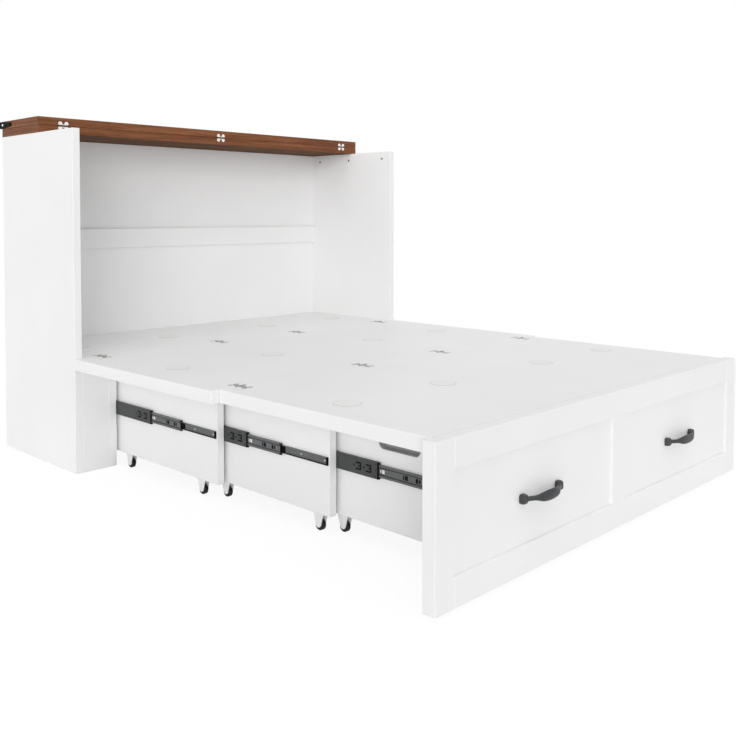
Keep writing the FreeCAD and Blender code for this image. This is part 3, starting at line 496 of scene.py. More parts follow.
# %% [markdown]
# Fittings come in pairs, left and right. Both could be modelled, but one side is enough: a mirror of the
# mesh gives the other. Each fitting then rides on the body that carries it, so it moves when the bed is
# folded away.

# %% Fittings that ride on a body


def fitting(name, build, body, finish, both_sides=True):
    """Makes one object from a build function, mirrors it if it comes in pairs, and lets it ride on a body."""
    mesh = bmesh.new()
    build(mesh)
    if both_sides:
        one_side = list(mesh.verts) + list(mesh.edges) + list(mesh.faces)
        copies = bmesh.ops.duplicate(mesh, geom=one_side)["geom"]
        for vert in (item for item in copies if isinstance(item, bmesh.types.BMVert)):
            vert.co.x = -vert.co.x
        mirrored = [item for item in copies if isinstance(item, bmesh.types.BMFace)]
        bmesh.ops.reverse_faces(mesh, faces=mirrored)
    bmesh.ops.recalc_face_normals(mesh, faces=list(mesh.faces))
    data = bpy.data.meshes.new(name)
    mesh.to_mesh(data)
    mesh.free()
    piece = bpy.data.objects.new(name, data)
    bpy.context.collection.objects.link(piece)
    data.materials.append(finish)
    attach(piece, body)
    return piece


# %% [markdown]
# Each round lobe of a hinge is held by a countersunk screw. Its head is a shallow dome, turned from a
# profile, and only 0.3 mm proud, so that folded boards still lie face to face. The pins' places come from
# the record's joints, so the screws sit on the leaves without any measuring by eye.

# %% Hinge screws
LEAF_FACE_BELOW_PIN = 0.5 * MM
SCREW_HEAD = profile((3.6, -0.2), (3.6, 0.0), (2.6, 0.22), (1.2, 0.28), (0.0, 0.3))
# Middles of the hinges, and how far a lobe's screw is from its hinge's middle and from the pin
DECK_HINGES = [-698 * MM, -198 * MM, 198 * MM, 698 * MM]
DECK_LOBES = (10.5 * MM, 32.0 * MM)
LID_HINGES = [-703 * MM, 0.0, 703 * MM]
LID_LOBES = (12.0 * MM, 8.2 * MM)
HEAD, FOOT, UP, DOWN, LEFT = (0, 1, 0), (0, -1, 0), (0, 0, 1), (0, 0, -1), (-1, 0, 0)


def pin_of(joint):
    """The point on a hinge joint's axis that the record gives."""
    found = [item for item in frame["record"]["behaviour"]["joints"] if item["name"] == joint]
    return Vector(found[0]["pos_m"])


def leaf_screws(name, joint, hinges, lobes, across, face, body, finish=ZINC, slot_name="steel_screws"):
    """Screw heads in the two lobes of each leaf, which lies across from the pin and looks along face."""
    pin = pin_of(joint)
    along, reach = lobes
    offset = Vector(across) * reach - Vector(face) * LEAF_FACE_BELOW_PIN
    spots = [Vector((x + side * along, pin.y, pin.z)) + offset for x in hinges for side in (-1, 1)]

    def build(mesh):
        for spot in spots:
            turned(mesh, SCREW_HEAD, spot, face)

    return fitting(name, build, body, finish, both_sides=False)


deck = (DECK_HINGES, DECK_LOBES)
lid = (LID_HINGES, LID_LOBES)
leaf_screws("head_hinge_screws_on_deck", "front_panel_fold", *deck, HEAD, UP, "cabinet")
leaf_screws("head_hinge_screws_on_panel", "front_panel_fold", *deck, FOOT, UP, "front_panel")
leaf_screws("foot_hinge_screws_on_front", "foot_panel_fold", *deck, HEAD, UP, "front_panel")
leaf_screws("foot_hinge_screws_on_foot", "foot_panel_fold", *deck, FOOT, UP, "foot_panel")
leaf_screws("lid_hinge_screws_rear", "lid_fold", *lid, DOWN, FOOT, "cabinet", NICKEL, "bright_hinge_metal")
leaf_screws("lid_hinge_screws_front", "lid_fold", *lid, UP, FOOT, "lid_front", NICKEL, "bright_hinge_metal")
print("hinge screws on", 2 * len(DECK_HINGES) + len(LID_HINGES), "hinges")

# %% [markdown]
# A telescopic slide is a set of rolled steel members that run in each other on balls. Its moulded caps,
# clips and screws make it read as a slide, and so does the shade in its slits, windows and steps, which is
# painted with thin black pieces. All of these could be drawn on as a texture, but the members move apart,
# so each piece is modelled at its real place on a member, and that place is measured from the solid.

# %% Slide members
SHEET = 1.2 * MM
MIDDLE_SINK = 2.2 * MM
INNER_FLANGE = 5.2 * MM


def member(stage, kind):
    """Left member of a stage: outer face, front end and middle height from its solid, and its half height."""
    low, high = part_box("stage_%d_%s_members" % (stage, kind))
    return low[0], low[1], (low[2] + high[2]) / 2, (high[2] - low[2]) / 2


def inner_web(stage):
    """The outer face of the inner member's web, which lies behind its flanges."""
    return member(stage, "inner")[0] + INNER_FLANGE - SHEET


for stage in STAGES:
    ends = [round(member(stage, kind)[1], 4) for kind in ("outer", "middle", "inner")]
    print("stage", stage, "front ends of its members:", ends)

# %% [markdown]
# A black moulded stop closes the front end of the outer and the middle member. It is a thin cap with a
# block in each corner of the channel, where the next member comes to rest, and pegs hold the outer one. One
# moulding could be lofted, but a few eased blocks give the same outline and can be read as numbers.

# %% End stops
STOP_LIP = 0.8 * MM
STOP_LENGTH = 6.0 * MM
STOP_BAND = 4.5 * MM
CAP_SKIN = 0.25 * MM
CAP_EASE = 0.2 * MM
BLOCK_EASE = 0.4 * MM
RACE = 5.0 * MM
PEG = profile((1.7, -0.3), (1.7, 0.1), (0.0, 0.15))
PEG_BEHIND = 10 * MM
PEG_HEIGHTS = (-16 * MM, 0.0, 16 * MM)


def end_stop(mesh, stage, kind, sink, depth, block):
    """A cap on the member's front end, with a block in each corner of its channel."""
    x, front, middle, half = member(stage, kind)
    ahead, behind = front - STOP_LIP, front + STOP_BAND
    race = half - RACE if sink else half
    low = (x + sink - CAP_SKIN, ahead, middle - race)
    eased_block(mesh, low, (x + sink + SHEET, behind, middle + race), CAP_EASE)
    for side in (-1, 1):
        edge, under = middle + side * half, middle + side * (half - SHEET)
        low_z, high_z = sorted((edge, under))
        eased_block(mesh, (x + SHEET, ahead, low_z), (x + depth, front, high_z), CAP_EASE)
        if sink:
            low_z, high_z = sorted((edge, middle + side * race))
            eased_block(mesh, (x - CAP_SKIN, ahead, low_z), (x + SHEET, behind, high_z), CAP_EASE)
        low_z, high_z = sorted((under, middle + side * (half - SHEET - block)))
        eased_block(mesh, (x + SHEET, ahead, low_z), (x + depth, front + STOP_LENGTH, high_z), BLOCK_EASE)


def stop_pegs(mesh, stage):
    """Three pegs of the outer stop, showing through small holes behind the cap."""
    x, front, middle, _ = member(stage, "outer")
    for height in PEG_HEIGHTS:
        turned(mesh, PEG, (x, front + PEG_BEHIND, middle + height), LEFT, steps=12)


print("stops reach", round((STOP_LIP + STOP_LENGTH) / MM, 1), "mm, with", len(PEG_HEIGHTS), "pegs")

# %% [markdown]
# Two mounting tabs, cut free by a slit shaped like a 3, are pressed out of the outer member's web. The
# slits are in the solid. The shade in them is painted: a black sheet just behind the web shows through the
# slits, thin black bars along their edges make them read wider than they are cut, and a black disc stands
# for the shade in the hole behind each tab. A rounded edge of a tenth of a millimetre would not show that
# shade.

# %% Mounting tabs
# Size and place of the black sheet of painted shade behind the slits
SLIT_SHADE_FROM = 20 * MM
SLIT_SHADE_TO = 104 * MM
SLIT_SHADE_HALF = 9.9 * MM
SLIT_SHADE_GAP = 0.1 * MM
SLIT_SHADE_DEPTH = 0.5 * MM
SLIT_SHADE_EASE = 0.1 * MM
TAB_STARTS = (26 * MM, 64 * MM)
TAB_LENGTH = 19 * MM
TAB_HALF = 10 * MM
TAB_SLIT = 3 * MM
# The black bars and discs of painted shade along the slits and in the holes
SHADE_BAR_PROUD = 0.12 * MM
SHADE_BAR_SUNK = 0.1 * MM
SHADE_BAR_EASE = 0.05 * MM
HOLE_SHADE_DISC = profile((2.8, -0.1), (2.8, 0.1), (0.0, 0.12))
HOLE_SHADE_BEHIND = 8 * MM
SHADE_BAR_WIDTH = 0.8 * MM
HAIR = 0.02 * MM


def slit_backing_shade(mesh, stage):
    """A black sheet just behind the outer member's web, painted shade seen through the slits."""
    x, front, middle, _ = member(stage, "outer")
    low = (x + SHEET + SLIT_SHADE_GAP, front + SLIT_SHADE_FROM, middle - SLIT_SHADE_HALF)
    high = (x + SHEET + SLIT_SHADE_DEPTH, front + SLIT_SHADE_TO, middle + SLIT_SHADE_HALF)
    eased_block(mesh, low, high, SLIT_SHADE_EASE)


def slit_shade_bars(mesh, stage):
    """Black bars of painted shade along both slits, a hair apart where they meet, and a black disc of painted
    shade for the hole behind each tab.
    """
    x, front, middle, _ = member(stage, "outer")
    inside = TAB_HALF - TAB_SLIT - SHADE_BAR_WIDTH
    for start in TAB_STARTS:
        near, far = front + start, front + start + TAB_LENGTH
        stem = near + TAB_SLIT + SHADE_BAR_WIDTH
        bars = [
            (near - SHADE_BAR_WIDTH, far + SHADE_BAR_WIDTH, inside, TAB_HALF + SHADE_BAR_WIDTH),
            (near - SHADE_BAR_WIDTH, far + SHADE_BAR_WIDTH, -TAB_HALF - SHADE_BAR_WIDTH, -inside),
            (near - SHADE_BAR_WIDTH, stem, -inside + HAIR, inside - HAIR),
            (stem + HAIR, near + TAB_LENGTH / 2 + SHADE_BAR_WIDTH, -TAB_SLIT / 2 - SHADE_BAR_WIDTH, TAB_SLIT / 2 + SHADE_BAR_WIDTH),
        ]
        for y0, y1, z0, z1 in bars:
            eased_block(mesh, (x - SHADE_BAR_PROUD, y0, middle + z0), (x + SHADE_BAR_SUNK, y1, middle + z1), SHADE_BAR_EASE)
        turned(mesh, HOLE_SHADE_DISC, (x, far + HOLE_SHADE_BEHIND, middle), LEFT, steps=16)


print("tabs on each outer member:", len(TAB_STARTS))

# %% [markdown]
# The middle member has a sunk web between two races. Black strips along the step between them paint its
# shade, black patches paint the shade in its small windows, and a grey catch and a pale clip lie flat on
# the web. The catch and clip are inserts of sheet or plastic, so thin eased blocks, just proud of the web,
# stand for each of these pieces.

# %% Middle member's inserts and painted shade
# The black strips of painted shade along the step between web and races
RACE_STEP_SHADE_Z = (8.6 * MM, 9.9 * MM)
RACE_STEP_SHADE_PROUD = 0.5 * MM
RACE_STEP_SHADE_LENGTH = 476 * MM
RACE_STEP_SHADE_EASE = 0.15 * MM
FLAT_PROUD = 0.4 * MM
FLAT_SUNK = 0.2 * MM
FLAT_EASE = 0.1 * MM
# Black patches of painted shade where the windows are
# Distance from the member's front end, length and height
WINDOW_SHADES = [(25 * MM, 6 * MM, 9 * MM), (34 * MM, 8 * MM, 12 * MM), (69 * MM, 10 * MM, 12 * MM),
                (82 * MM, 4 * MM, 12 * MM)]
CATCH = [(18 * MM, 5 * MM, 8 * MM)]


def race_step_shades(mesh, stage):
    """Two black strips of painted shade along the step between the web and its races."""
    x, front, middle, _ = member(stage, "middle")
    web = x + MIDDLE_SINK
    for side in (-1, 1):
        low_z, high_z = sorted(middle + side * height for height in RACE_STEP_SHADE_Z)
        low = (web - RACE_STEP_SHADE_PROUD, front + STOP_BAND, low_z)
        eased_block(mesh, low, (web + FLAT_SUNK, front + RACE_STEP_SHADE_LENGTH, high_z), RACE_STEP_SHADE_EASE)


def inserts_and_shades(mesh, stage, places):
    """Flat pieces on the sunk web, the clip, the catch and the painted window shade: each place is a distance
    from the front end, a length and a height.
    """
    x, front, middle, _ = member(stage, "middle")
    web = x + MIDDLE_SINK
    for start, length, height in places:
        low = (web - FLAT_PROUD, front + start, middle - height / 2)
        eased_block(mesh, low, (web + FLAT_SUNK, front + start + length, middle + height / 2), FLAT_EASE)


def clip_places(stage):
    """The pale clip in two parts, just ahead of the outer member's end."""
    exposed = member(stage, "outer")[1] - member(stage, "middle")[1]
    return [(exposed - 20 * MM, 9 * MM, 10 * MM), (exposed - 8 * MM, 4 * MM, 8 * MM)]


print("windows on each middle member:", len(WINDOW_SHADES))

# %% [markdown]
# The inner member is screwed to the section. It has a cap on its front end, a release lever beside its web
# and two pan-headed screws, and a black strip of painted shade lines its lower flange. Most of it sits
# between its flanges, so blocks and turnings that start from the web's face are enough.

# %% Inner member's fittings
INNER_CAP_PROUD = 0.2 * MM
# The black strip of painted shade along the lower flange
FLANGE_SHADE_LENGTH = 470 * MM
FLANGE_SHADE_HEIGHT = 1.2 * MM
LEVER_SUNK = 0.9 * MM
LEVER_AHEAD = 13 * MM
LEVER_BEHIND = 4 * MM
LEVER_BELOW = 8.5 * MM
LEVER_ABOVE = 10 * MM
LEVER_EASE = 0.8 * MM
PAN_HEAD = profile((2.7, 0.0), (2.7, 0.6), (2.3, 1.0), (1.3, 1.3), (0.0, 1.4))
INNER_SCREWS = (14 * MM, 112 * MM)


def inner_cap_and_flange_shade(mesh, stage):
    """The cap on the front end, and a black strip of painted shade along the lower flange."""
    x, front, middle, half = member(stage, "inner")
    web = inner_web(stage)
    low = (x - INNER_CAP_PROUD, front - STOP_LIP, middle - half)
    eased_block(mesh, low, (web, front + STOP_BAND, middle + half), BLOCK_EASE)
    low = (x, front + STOP_BAND, middle - half + SHEET)
    eased_block(mesh, low, (web, front + FLANGE_SHADE_LENGTH, middle - half + SHEET + FLANGE_SHADE_HEIGHT), CAP_EASE)


def lever(mesh, stage):
    """The release lever beside the web, just ahead of the middle member's end."""
    x, _, middle, _ = member(stage, "inner")
    end = member(stage, "middle")[1]
    low = (x + LEVER_SUNK, end - LEVER_AHEAD, middle - LEVER_BELOW)
    eased_block(mesh, low, (inner_web(stage), end + LEVER_BEHIND, middle + LEVER_ABOVE), LEVER_EASE)


def inner_screws(mesh, stage):
    """Two screws through the web into the section's side."""
    _, front, middle, _ = member(stage, "inner")
    for distance in INNER_SCREWS:
        turned(mesh, PAN_HEAD, (inner_web(stage), front + distance, middle), LEFT)


print("screws on each inner member:", len(INNER_SCREWS))

# %% [markdown]
# The fittings above are now made for each of the three stages. Outer and middle members are bodies of their
# own, and the inner member is fixed to its section, so each piece rides on what carries it. A table of
# pieces keeps the twelve kinds in view, where twelve calls would hide what differs.

# %% Slide fittings
# How deep the web is sunk, the cap's depth and its corner blocks' height
OUTER_STOP = (0.0, 7.6 * MM, 4.0 * MM)
MIDDLE_STOP = (MIDDLE_SINK, 7.2 * MM, 2.4 * MM)
for stage in STAGES:
    outer, middle, section = (name % stage for name in ("stage_%d_outer", "stage_%d_middle", "section_%d"))
    black = (BLACK_ACETAL_AND_SHADE, "dark_coated_steel")
    pieces = [
        ("outer_stops", lambda m: end_stop(m, stage, "outer", *OUTER_STOP), outer, *black),
        ("outer_stop_pegs", lambda m: stop_pegs(m, stage), outer, *black),
        # Black sheet, bars and discs of painted shade in the slits and holes
        ("slit_backing_shades", lambda m: slit_backing_shade(m, stage), outer, *black),
        ("slit_shade_bars", lambda m: slit_shade_bars(m, stage), outer, *black),
        ("middle_stops", lambda m: end_stop(m, stage, "middle", *MIDDLE_STOP), middle, *black),
        # Black strips and patches of painted shade on the middle member's web
        ("race_step_shades", lambda m: race_step_shades(m, stage), middle, *black),
        ("window_shades", lambda m: inserts_and_shades(m, stage, WINDOW_SHADES), middle, *black),
        ("levers", lambda m: lever(m, stage), section, *black),
        # The inner cap, with its black strip of painted shade along the lower flange
        ("inner_caps_and_flange_shades", lambda m: inner_cap_and_flange_shade(m, stage), section, *black),
        ("clips", lambda m: inserts_and_shades(m, stage, clip_places(stage)), middle, CLIP_WHITE, "pale_pad_plastic"),
        ("catches", lambda m: inserts_and_shades(m, stage, CATCH), middle, GREY_CAP_AND_GAP_SHADE, "dark_cap_plastic"),
        ("inner_screws", lambda m: inner_screws(m, stage), section, ZINC, "steel_screws"),
    ]
    for name, build, body, finish, slot_name in pieces:
        fitting("stage_%d_%s" % (stage, name), build, body, finish)
    print("stage", stage, "has", len(pieces), "fittings")

# %% [markdown]
# A caster's axle is closed at both ends by a rivet head, a low dome on the cheek of its fork. It is a
# turning again, placed from the wheel's own box, so that it stays on the axle.

# %% Axle rivets
RIVET = profile((4.6, 0.0), (4.4, 0.5), (3.2, 1.1), (1.6, 1.4), (0.0, 1.5))
CHEEK_FROM_CENTRE = 10.1 * MM
WHEEL_HALF_WIDTH = 7.5 * MM


def wheel_centre(stage, end):
    """Centre of the left wheel of a pair."""
    low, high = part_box("section_%d_%s_wheels" % (stage, end))
    return Vector((low[0] + WHEEL_HALF_WIDTH, (low[1] + high[1]) / 2, (low[2] + high[2]) / 2))


def axle_rivets(mesh, stage):
    """A rivet head on both cheeks of the front and the rear fork."""
    for end in ("front", "rear"):
        centre = wheel_centre(stage, end)
        for side in (-1, 1):
            turned(mesh, RIVET, centre + Vector((side * CHEEK_FROM_CENTRE, 0, 0)), (side, 0, 0))


for stage in STAGES:
    fitting("section_%d_axle_rivets" % stage, lambda m: axle_rivets(m, stage), "section_%d" % stage,
            WHITE_COAT)
    print("rivets on the axles at", [round(wheel_centre(stage, end).y, 3) for end in ("front", "rear")])

# %% [markdown]
# The black strap on each end of the lid is held by one bright round-headed screw near the board's rear
# edge. Its place is measured from the strap and the board, and its dome is turned with more steps than the
# small screws, because it stands alone and in profile.

# %% Strap screws
DOME_HEAD = profile((4.8, 0.0), (4.5, 0.9), (3.5, 1.7), (1.9, 2.2), (0.0, 2.3))
SCREW_FROM_REAR_EDGE = 14 * MM
strap_low, strap_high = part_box("lid_pulls")
lid_rear_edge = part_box("lid_front_board")[1][1]


def strap_screw(mesh):
    """One dome on the left strap."""
    place = (strap_low[0], lid_rear_edge - SCREW_FROM_REAR_EDGE, (strap_low[2] + strap_high[2]) / 2)
    turned(mesh, DOME_HEAD, place, LEFT, steps=24)


fitting("strap_screws", strap_screw, "lid_front", NICKEL)
print("strap screws at", round(strap_low[0], 4))

# %% [markdown]
# Each round pad sits in its own recess, with a gap of a few tenths of a millimetre round it, dark with
# shade. Such a gap is finer than a pixel. So a thin dark grey ring, level with the pad's top, paints the
# gap's shade, and gives the pad the fine arc that the eye finds it by.

# %% Painted shade round the pads
PAD_PLACES = (-648 * MM, -256 * MM, 256 * MM, 648 * MM)
# The ring of painted shade round a pad
GAP_SHADE_RING = profile((37.9, -0.3), (38.5, -0.3), (38.5, 0.0), (37.9, 0.02), (37.9, -0.3))
WELD = 1e-6
PAD_BODIES = {"head_deck_pads": "cabinet", "front_panel_pads": "front_panel", "foot_panel_pads": "foot_panel"}


def pad_gap_shade_rings(mesh, node):
    """A ring of painted shade round each pad of one board. The profile ends where it starts, so the seam is
    welded.
    """
    low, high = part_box(node)
    for x in PAD_PLACES:
        turned(mesh, GAP_SHADE_RING, (x, (low[1] + high[1]) / 2, high[2]), UP, steps=64)
    bmesh.ops.remove_doubles(mesh, verts=list(mesh.verts), dist=WELD)


for node, body in PAD_BODIES.items():
    fitting(node + "_gap_shade_rings", lambda m: pad_gap_shade_rings(m, node), body, GREY_CAP_AND_GAP_SHADE, both_sides=False)
print("pad rims on", len(PAD_BODIES), "boards")

# %% [markdown]
# A lofted form needs three helpers: a smooth curve through a few measured points, a ring between an oval
# and a rounded square, and a skin over a row of rings. Curve objects with a taper could give the same, but
# rings in code keep every section's width and height as a number.

# %% Lofting helpers
SHORT_OF_END = 0.001
RING_STEPS = 28


def smooth_value(table, place):
    """A value between (place, value) pairs, the same on both sides of zero, on a cubic without kinks."""
    spot = min(abs(place), table[-1][0] - SHORT_OF_END)
    k = max(i for i in range(len(table) - 1) if table[i][0] <= spot)
    before, a, b, after = (table[max(0, min(len(table) - 1, k + i))] for i in (-1, 0, 1, 2))
    gap = b[0] - a[0]
    t = (spot - a[0]) / gap
    slope_a = 0.0 if a == before else (b[1] - before[1]) / (b[0] - before[0]) * gap
    slope_b = (after[1] - a[1]) / (after[0] - a[0]) * gap
    return (a[1] * (2 * t ** 3 - 3 * t ** 2 + 1) + slope_a * (t ** 3 - 2 * t ** 2 + t)
            + b[1] * (3 * t ** 2 - 2 * t ** 3) + slope_b * (t ** 3 - t ** 2))


def rounded_ring(mesh, centre, across, half_across, half_up, squareness):
    """A ring of points in the plane of one direction and Z. Squareness 2 is an oval, and more is squarer."""
    ring = []
    for k in range(RING_STEPS):
        turn = 2 * math.pi * k / RING_STEPS
        c, n = math.cos(turn), math.sin(turn)
        u = math.copysign(abs(c) ** (2 / squareness), c) * half_across
        w = math.copysign(abs(n) ** (2 / squareness), n) * half_up
        ring.append(mesh.verts.new(centre + across * u + Vector((0, 0, w))))
    return ring


def skin(mesh, rings):
    """Joins rings into a closed body."""
    for one, other in zip(rings, rings[1:]):
        for k in range(len(one)):
            n = (k + 1) % len(one)
            mesh.faces.new((one[k], one[n], other[n], other[k]))
    mesh.faces.new(list(reversed(rings[0])))
    mesh.faces.new(rings[-1])


print("lofting with", RING_STEPS, "points in a ring")

# %% [markdown]
# The two pulls are castings: a bow with a leaf-shaped grip between two square feet, with every joint softly
# rounded. A casting has no sharp line where its parts meet. So the bow and the feet are lofted as separate
# closed bodies, and a fine voxel remesh melts them into one skin, which a little smoothing then rounds as
# fettling would.

# %% Cast pulls
# Distances along the pull from its middle, with what the bow measures there, all in mm
HALF_SPAN_MM = 79
BOW_OUT = [(0, 33), (33, 30.5), (50, 23), (65, 15), (79, 9)]
BOW_HEIGHT = [(0, 27), (16, 26), (33, 21.5), (48, 13), (62, 11.5), (79, 13)]
BOW_DEPTH = [(0, 14), (36, 13.5), (52, 12), (66, 11.5), (79, 12)]
BOW_STEPS = 48
BOW_SQUARENESS = 2.3
# Distance from the panel in mm, with the share of the foot's full size there
FOOT_RINGS = [(0, 1.0), (2, 1.02), (9, 1.0), (12.5, 0.94), (14.6, 0.82), (15.4, 0.6)]
FOOT_HALF_WIDTH = 10.4 * MM
FOOT_HALF_HEIGHT = 12.0 * MM
FOOT_SQUARENESS = 4.5
# The bow's slope is measured this far each side of a ring, in mm.
HALF_STEP = 0.5


def bow(mesh, root):
    """The bow, with each ring square to its line."""
    rings = []
    for k in range(BOW_STEPS + 1):
        x = -HALF_SPAN_MM + 2 * HALF_SPAN_MM * k / BOW_STEPS
        slope = smooth_value(BOW_OUT, x + HALF_STEP) - smooth_value(BOW_OUT, x - HALF_STEP)
        across = Vector((slope, 1.0, 0.0)).normalized()
        centre = root + Vector((x, -smooth_value(BOW_OUT, x), 0.0)) * MM
        depth = smooth_value(BOW_DEPTH, x) * MM
        height = smooth_value(BOW_HEIGHT, x) * MM
        rings.append(rounded_ring(mesh, centre, across, depth / 2, height / 2, BOW_SQUARENESS))
    skin(mesh, rings)


def pull_casting(mesh, node):
    """A bow and two feet on the footboard's panel, at the place of one solid pull."""
    low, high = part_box(node)
    root = Vector(((low[0] + high[0]) / 2, high[1], (low[2] + high[2]) / 2))
    bow(mesh, root)
    for side in (-1, 1):
        rings = []
        for out, share in FOOT_RINGS:
            centre = root + Vector((side * (HALF_SPAN_MM * MM), -out * MM, 0.0))
            halves = (share * FOOT_HALF_WIDTH, share * FOOT_HALF_HEIGHT)
            rings.append(rounded_ring(mesh, centre, Vector((1, 0, 0)), *halves, FOOT_SQUARENESS))
        skin(mesh, rings)


for side in ("left", "right"):
    node = "handle_" + side
    pull = fitting(side + "_pull", lambda m: pull_casting(m, node), "section_3",
                   CAST_COAT, both_sides=False)
    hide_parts(node)
    melt = pull.modifiers.new("melt_together", "REMESH")
    melt.mode = "VOXEL"
    melt.voxel_size = 1.2 * MM
    melt.use_smooth_shade = True
    fettle = pull.modifiers.new("fettle", "SMOOTH")
    fettle.factor = 0.5
    fettle.iterations = 5
    print("pull:", pull.name, "stands for", node)

# %% [markdown]
# The hand hole in each side of the last section is dark inside with shade, and a grey lining paints that
# shade. It could be drawn from the hole's sizes. It follows the hole's own outline instead, which is read
# from the solid's mesh, so it fits without any measuring by eye.

# %% Painted shade in the hand holes
# Gap, wall and depth of the grey lining of painted shade
LINING_GAP = 0.3 * MM
LINING_WALL = 1.5 * MM
LINING_BELOW_FACE = 0.6 * MM
SECTION_SIDE = 26 * MM
HOLE_BAND = (260 * MM, 303 * MM)
HALF_ROUND_STEPS = 16
side_solid = frame["nodes"]["section_3_sides"].data
side_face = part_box("section_3_sides")[0][0]
hole = [v.co for v in side_solid.vertices if v.co.x < 0 and HOLE_BAND[0] < v.co.z < HOLE_BAND[1]]
hole_y = (min(v.y for v in hole), max(v.y for v in hole))
hole_z = (min(v.z for v in hole), max(v.z for v in hole))
print("hand hole:", [round(c, 4) for c in hole_y + hole_z], "from", len(hole), "points")


def hole_outline(mesh, x, inset):
    """The hole's outline, two half rounds and two straights, drawn in by an inset."""
    radius = (hole_z[1] - hole_z[0]) / 2
    middle = (hole_z[0] + hole_z[1]) / 2
    ring = []
    for centre_y, start in ((hole_y[1] - radius, -90), (hole_y[0] + radius, 90)):
        for k in range(HALF_ROUND_STEPS + 1):
            turn = math.radians(start + 180 * k / HALF_ROUND_STEPS)
            y = centre_y + math.cos(turn) * (radius - inset)
            z = middle + math.sin(turn) * (radius - inset)
            ring.append(mesh.verts.new((x, y, z)))
    return ring


def hole_shade_lining(mesh):
    """Outside, rim, inside and floor of the left lining of painted shade, from four outlines."""
    rim, back = side_face + LINING_BELOW_FACE, side_face + SECTION_SIDE
    inner = LINING_GAP + LINING_WALL
    places = [(back, LINING_GAP), (rim, LINING_GAP), (rim, inner), (back - LINING_WALL, inner)]
    skin(mesh, [hole_outline(mesh, x, inset) for x, inset in places])


fitting("hole_shade_linings", hole_shade_lining, "section_3", LINING_SHADE_GREY)
print("finger cups at", round(side_face, 4))

# %% [markdown]
# The studio is a white room. A room could be built from walls, but the world alone can light the bed evenly
# and gently. The camera sees it as plain white, and so do reflections, whatever its light on the bed is.

# %% White room
ROOM_LIGHT = 0.55
HIGHER = {"operation": "MAXIMUM"}
world = bpy.data.worlds.new("white_room")
bpy.context.scene.world = world
world.use_nodes = True
room = world.node_tree
room.nodes.clear()
rays = add_node(room, "ShaderNodeLightPath").outputs
seen = add_node(room, "ShaderNodeMath", settings=HIGHER,
                links={0: rays["Is Camera Ray"], 1: rays["Is Glossy Ray"]})
seen = add_node(room, "ShaderNodeMath", settings=HIGHER,
                links={0: seen.outputs[0], 1: rays["Is Transmission Ray"]})
glow = add_node(room, "ShaderNodeBackground", inputs={"Color": linear("#FFFFFF"), "Strength": ROOM_LIGHT})
white = add_node(room, "ShaderNodeBackground", inputs={"Color": linear("#FFFFFF"), "Strength": 1.0})
either = add_node(room, "ShaderNodeMixShader",
                  links={0: seen.outputs[0], 1: glow.outputs[0], 2: white.outputs[0]})
add_node(room, "ShaderNodeOutputWorld", links={"Surface": either.outputs[0]})
print("room light:", ROOM_LIGHT)

# %% [markdown]
# The floor is a white studio floor that goes out of sight. A plain white sheet would come out grey under
# soft light. So most of what the camera sees of it is an even white, and the rest is a matt paint, which
# keeps the bed's shadow.

# %% Floor
FLOOR_REACH = 30.0
FLOOR_BELOW = 0.5 * MM
FLOOR_WHITE = 1.04
EVEN_SHARE = 0.88
floor_mesh = bmesh.new()
bmesh.ops.create_grid(floor_mesh, x_segments=1, y_segments=1, size=FLOOR_REACH)
floor_data = bpy.data.meshes.new("studio_floor")
floor_mesh.to_mesh(floor_data)
floor_mesh.free()
floor = bpy.data.objects.new("studio_floor", floor_data)
floor.location.z = -FLOOR_BELOW
bpy.context.collection.objects.link(floor)
floor_paint = bpy.data.materials.new("white_studio_floor")
floor_paint.use_nodes = True
tree = floor_paint.node_tree
tree.nodes.clear()
matt = add_node(tree, "ShaderNodeBsdfDiffuse", inputs={"Color": linear("#F4F4F4")})
even = add_node(tree, "ShaderNodeEmission", inputs={"Color": linear("#FFFFFF"), "Strength": FLOOR_WHITE})
rays = add_node(tree, "ShaderNodeLightPath").outputs
seen = add_node(tree, "ShaderNodeMath", settings=HIGHER,
                links={0: rays["Is Camera Ray"], 1: rays["Is Glossy Ray"]})
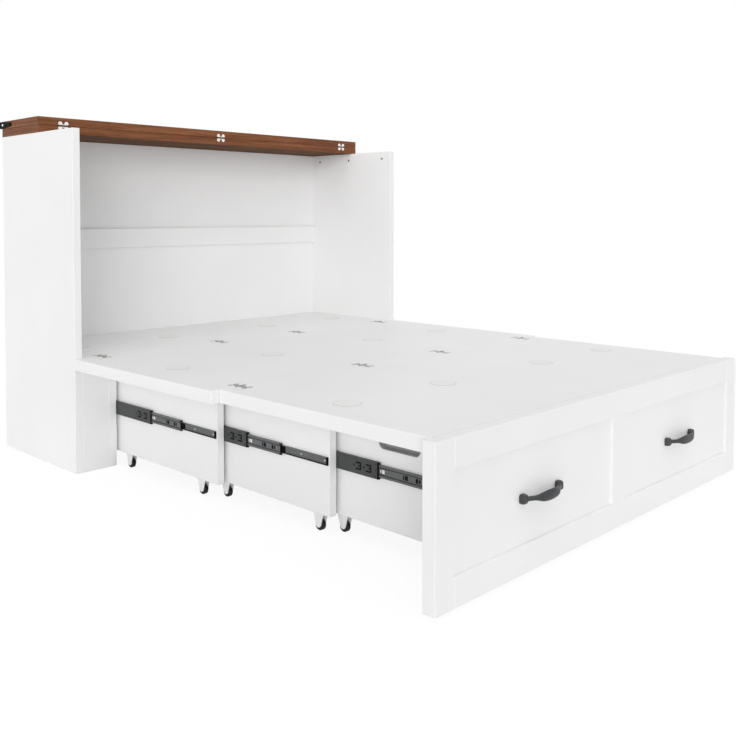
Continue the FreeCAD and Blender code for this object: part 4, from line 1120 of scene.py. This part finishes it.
share = add_node(tree, "ShaderNodeMath", settings={"operation": "MULTIPLY"}, inputs={1: EVEN_SHARE},
                 links={0: seen.outputs[0]})
cover = add_node(tree, "ShaderNodeMixShader",
                 links={0: share.outputs[0], 1: matt.outputs[0], 2: even.outputs[0]})
add_node(tree, "ShaderNodeOutputMaterial", links={"Surface": cover.outputs[0]})
floor_data.materials.append(floor_paint)
print("floor reaches", FLOOR_REACH, "m each way")

# %% [markdown]
# Three broad lamps, on the left, at the camera's corner and overhead, give each side of the bed its own
# even tone. Area lamps would be stronger on the near parts than on the far ones. A far lamp with a wide
# face lights the whole length of the bed alike, and its shadows stay soft.

# %% Lamps
# Strength, direction of the light, and width of the face in degrees
LAMPS = {
    "left_window": (0.42, (0.98, 0.12, -0.12), 60),
    "corner_window": (1.15, (0.70, 0.705, -0.12), 30),
    "ceiling": (0.66, (0.05, 0.25, -0.97), 60),
}
for name, (strength, shines, width) in LAMPS.items():
    lamp = bpy.data.lights.new(name, "SUN")
    lamp.energy = strength
    lamp.angle = math.radians(width)
    stand = bpy.data.objects.new(name, lamp)
    stand.rotation_euler = Vector(shines).to_track_quat("-Z", "Y").to_euler()
    bpy.context.collection.objects.link(stand)
    print("lamp:", name, strength)
bpy.context.scene.view_settings.view_transform = "Standard"

# %% [markdown]
# The camera stands where the photograph was taken: off the foot's left corner, a little under 0.9 m above
# the floor. Lens, turn and tilt came from the bed's own straight edges. It could be tilted down to frame
# the bed, but a nearly level camera with a small shift keeps uprights nearly upright.

# %% Camera
TILT_DOWN = 1.97
TURN = -45.73
eye = bpy.data.cameras.new("photo_camera")
eye.sensor_width = 36.0
eye.lens = 43.68
eye.shift_y = -0.166
camera = bpy.data.objects.new("photo_camera", eye)
camera.location = (-2267.1 * MM, -2291.4 * MM, 884.7 * MM)
camera.rotation_euler = (math.radians(90 - TILT_DOWN), 0.0, math.radians(TURN))
bpy.context.collection.objects.link(camera)
bpy.context.scene.camera = camera
print("camera at", tuple(round(c, 3) for c in camera.location))
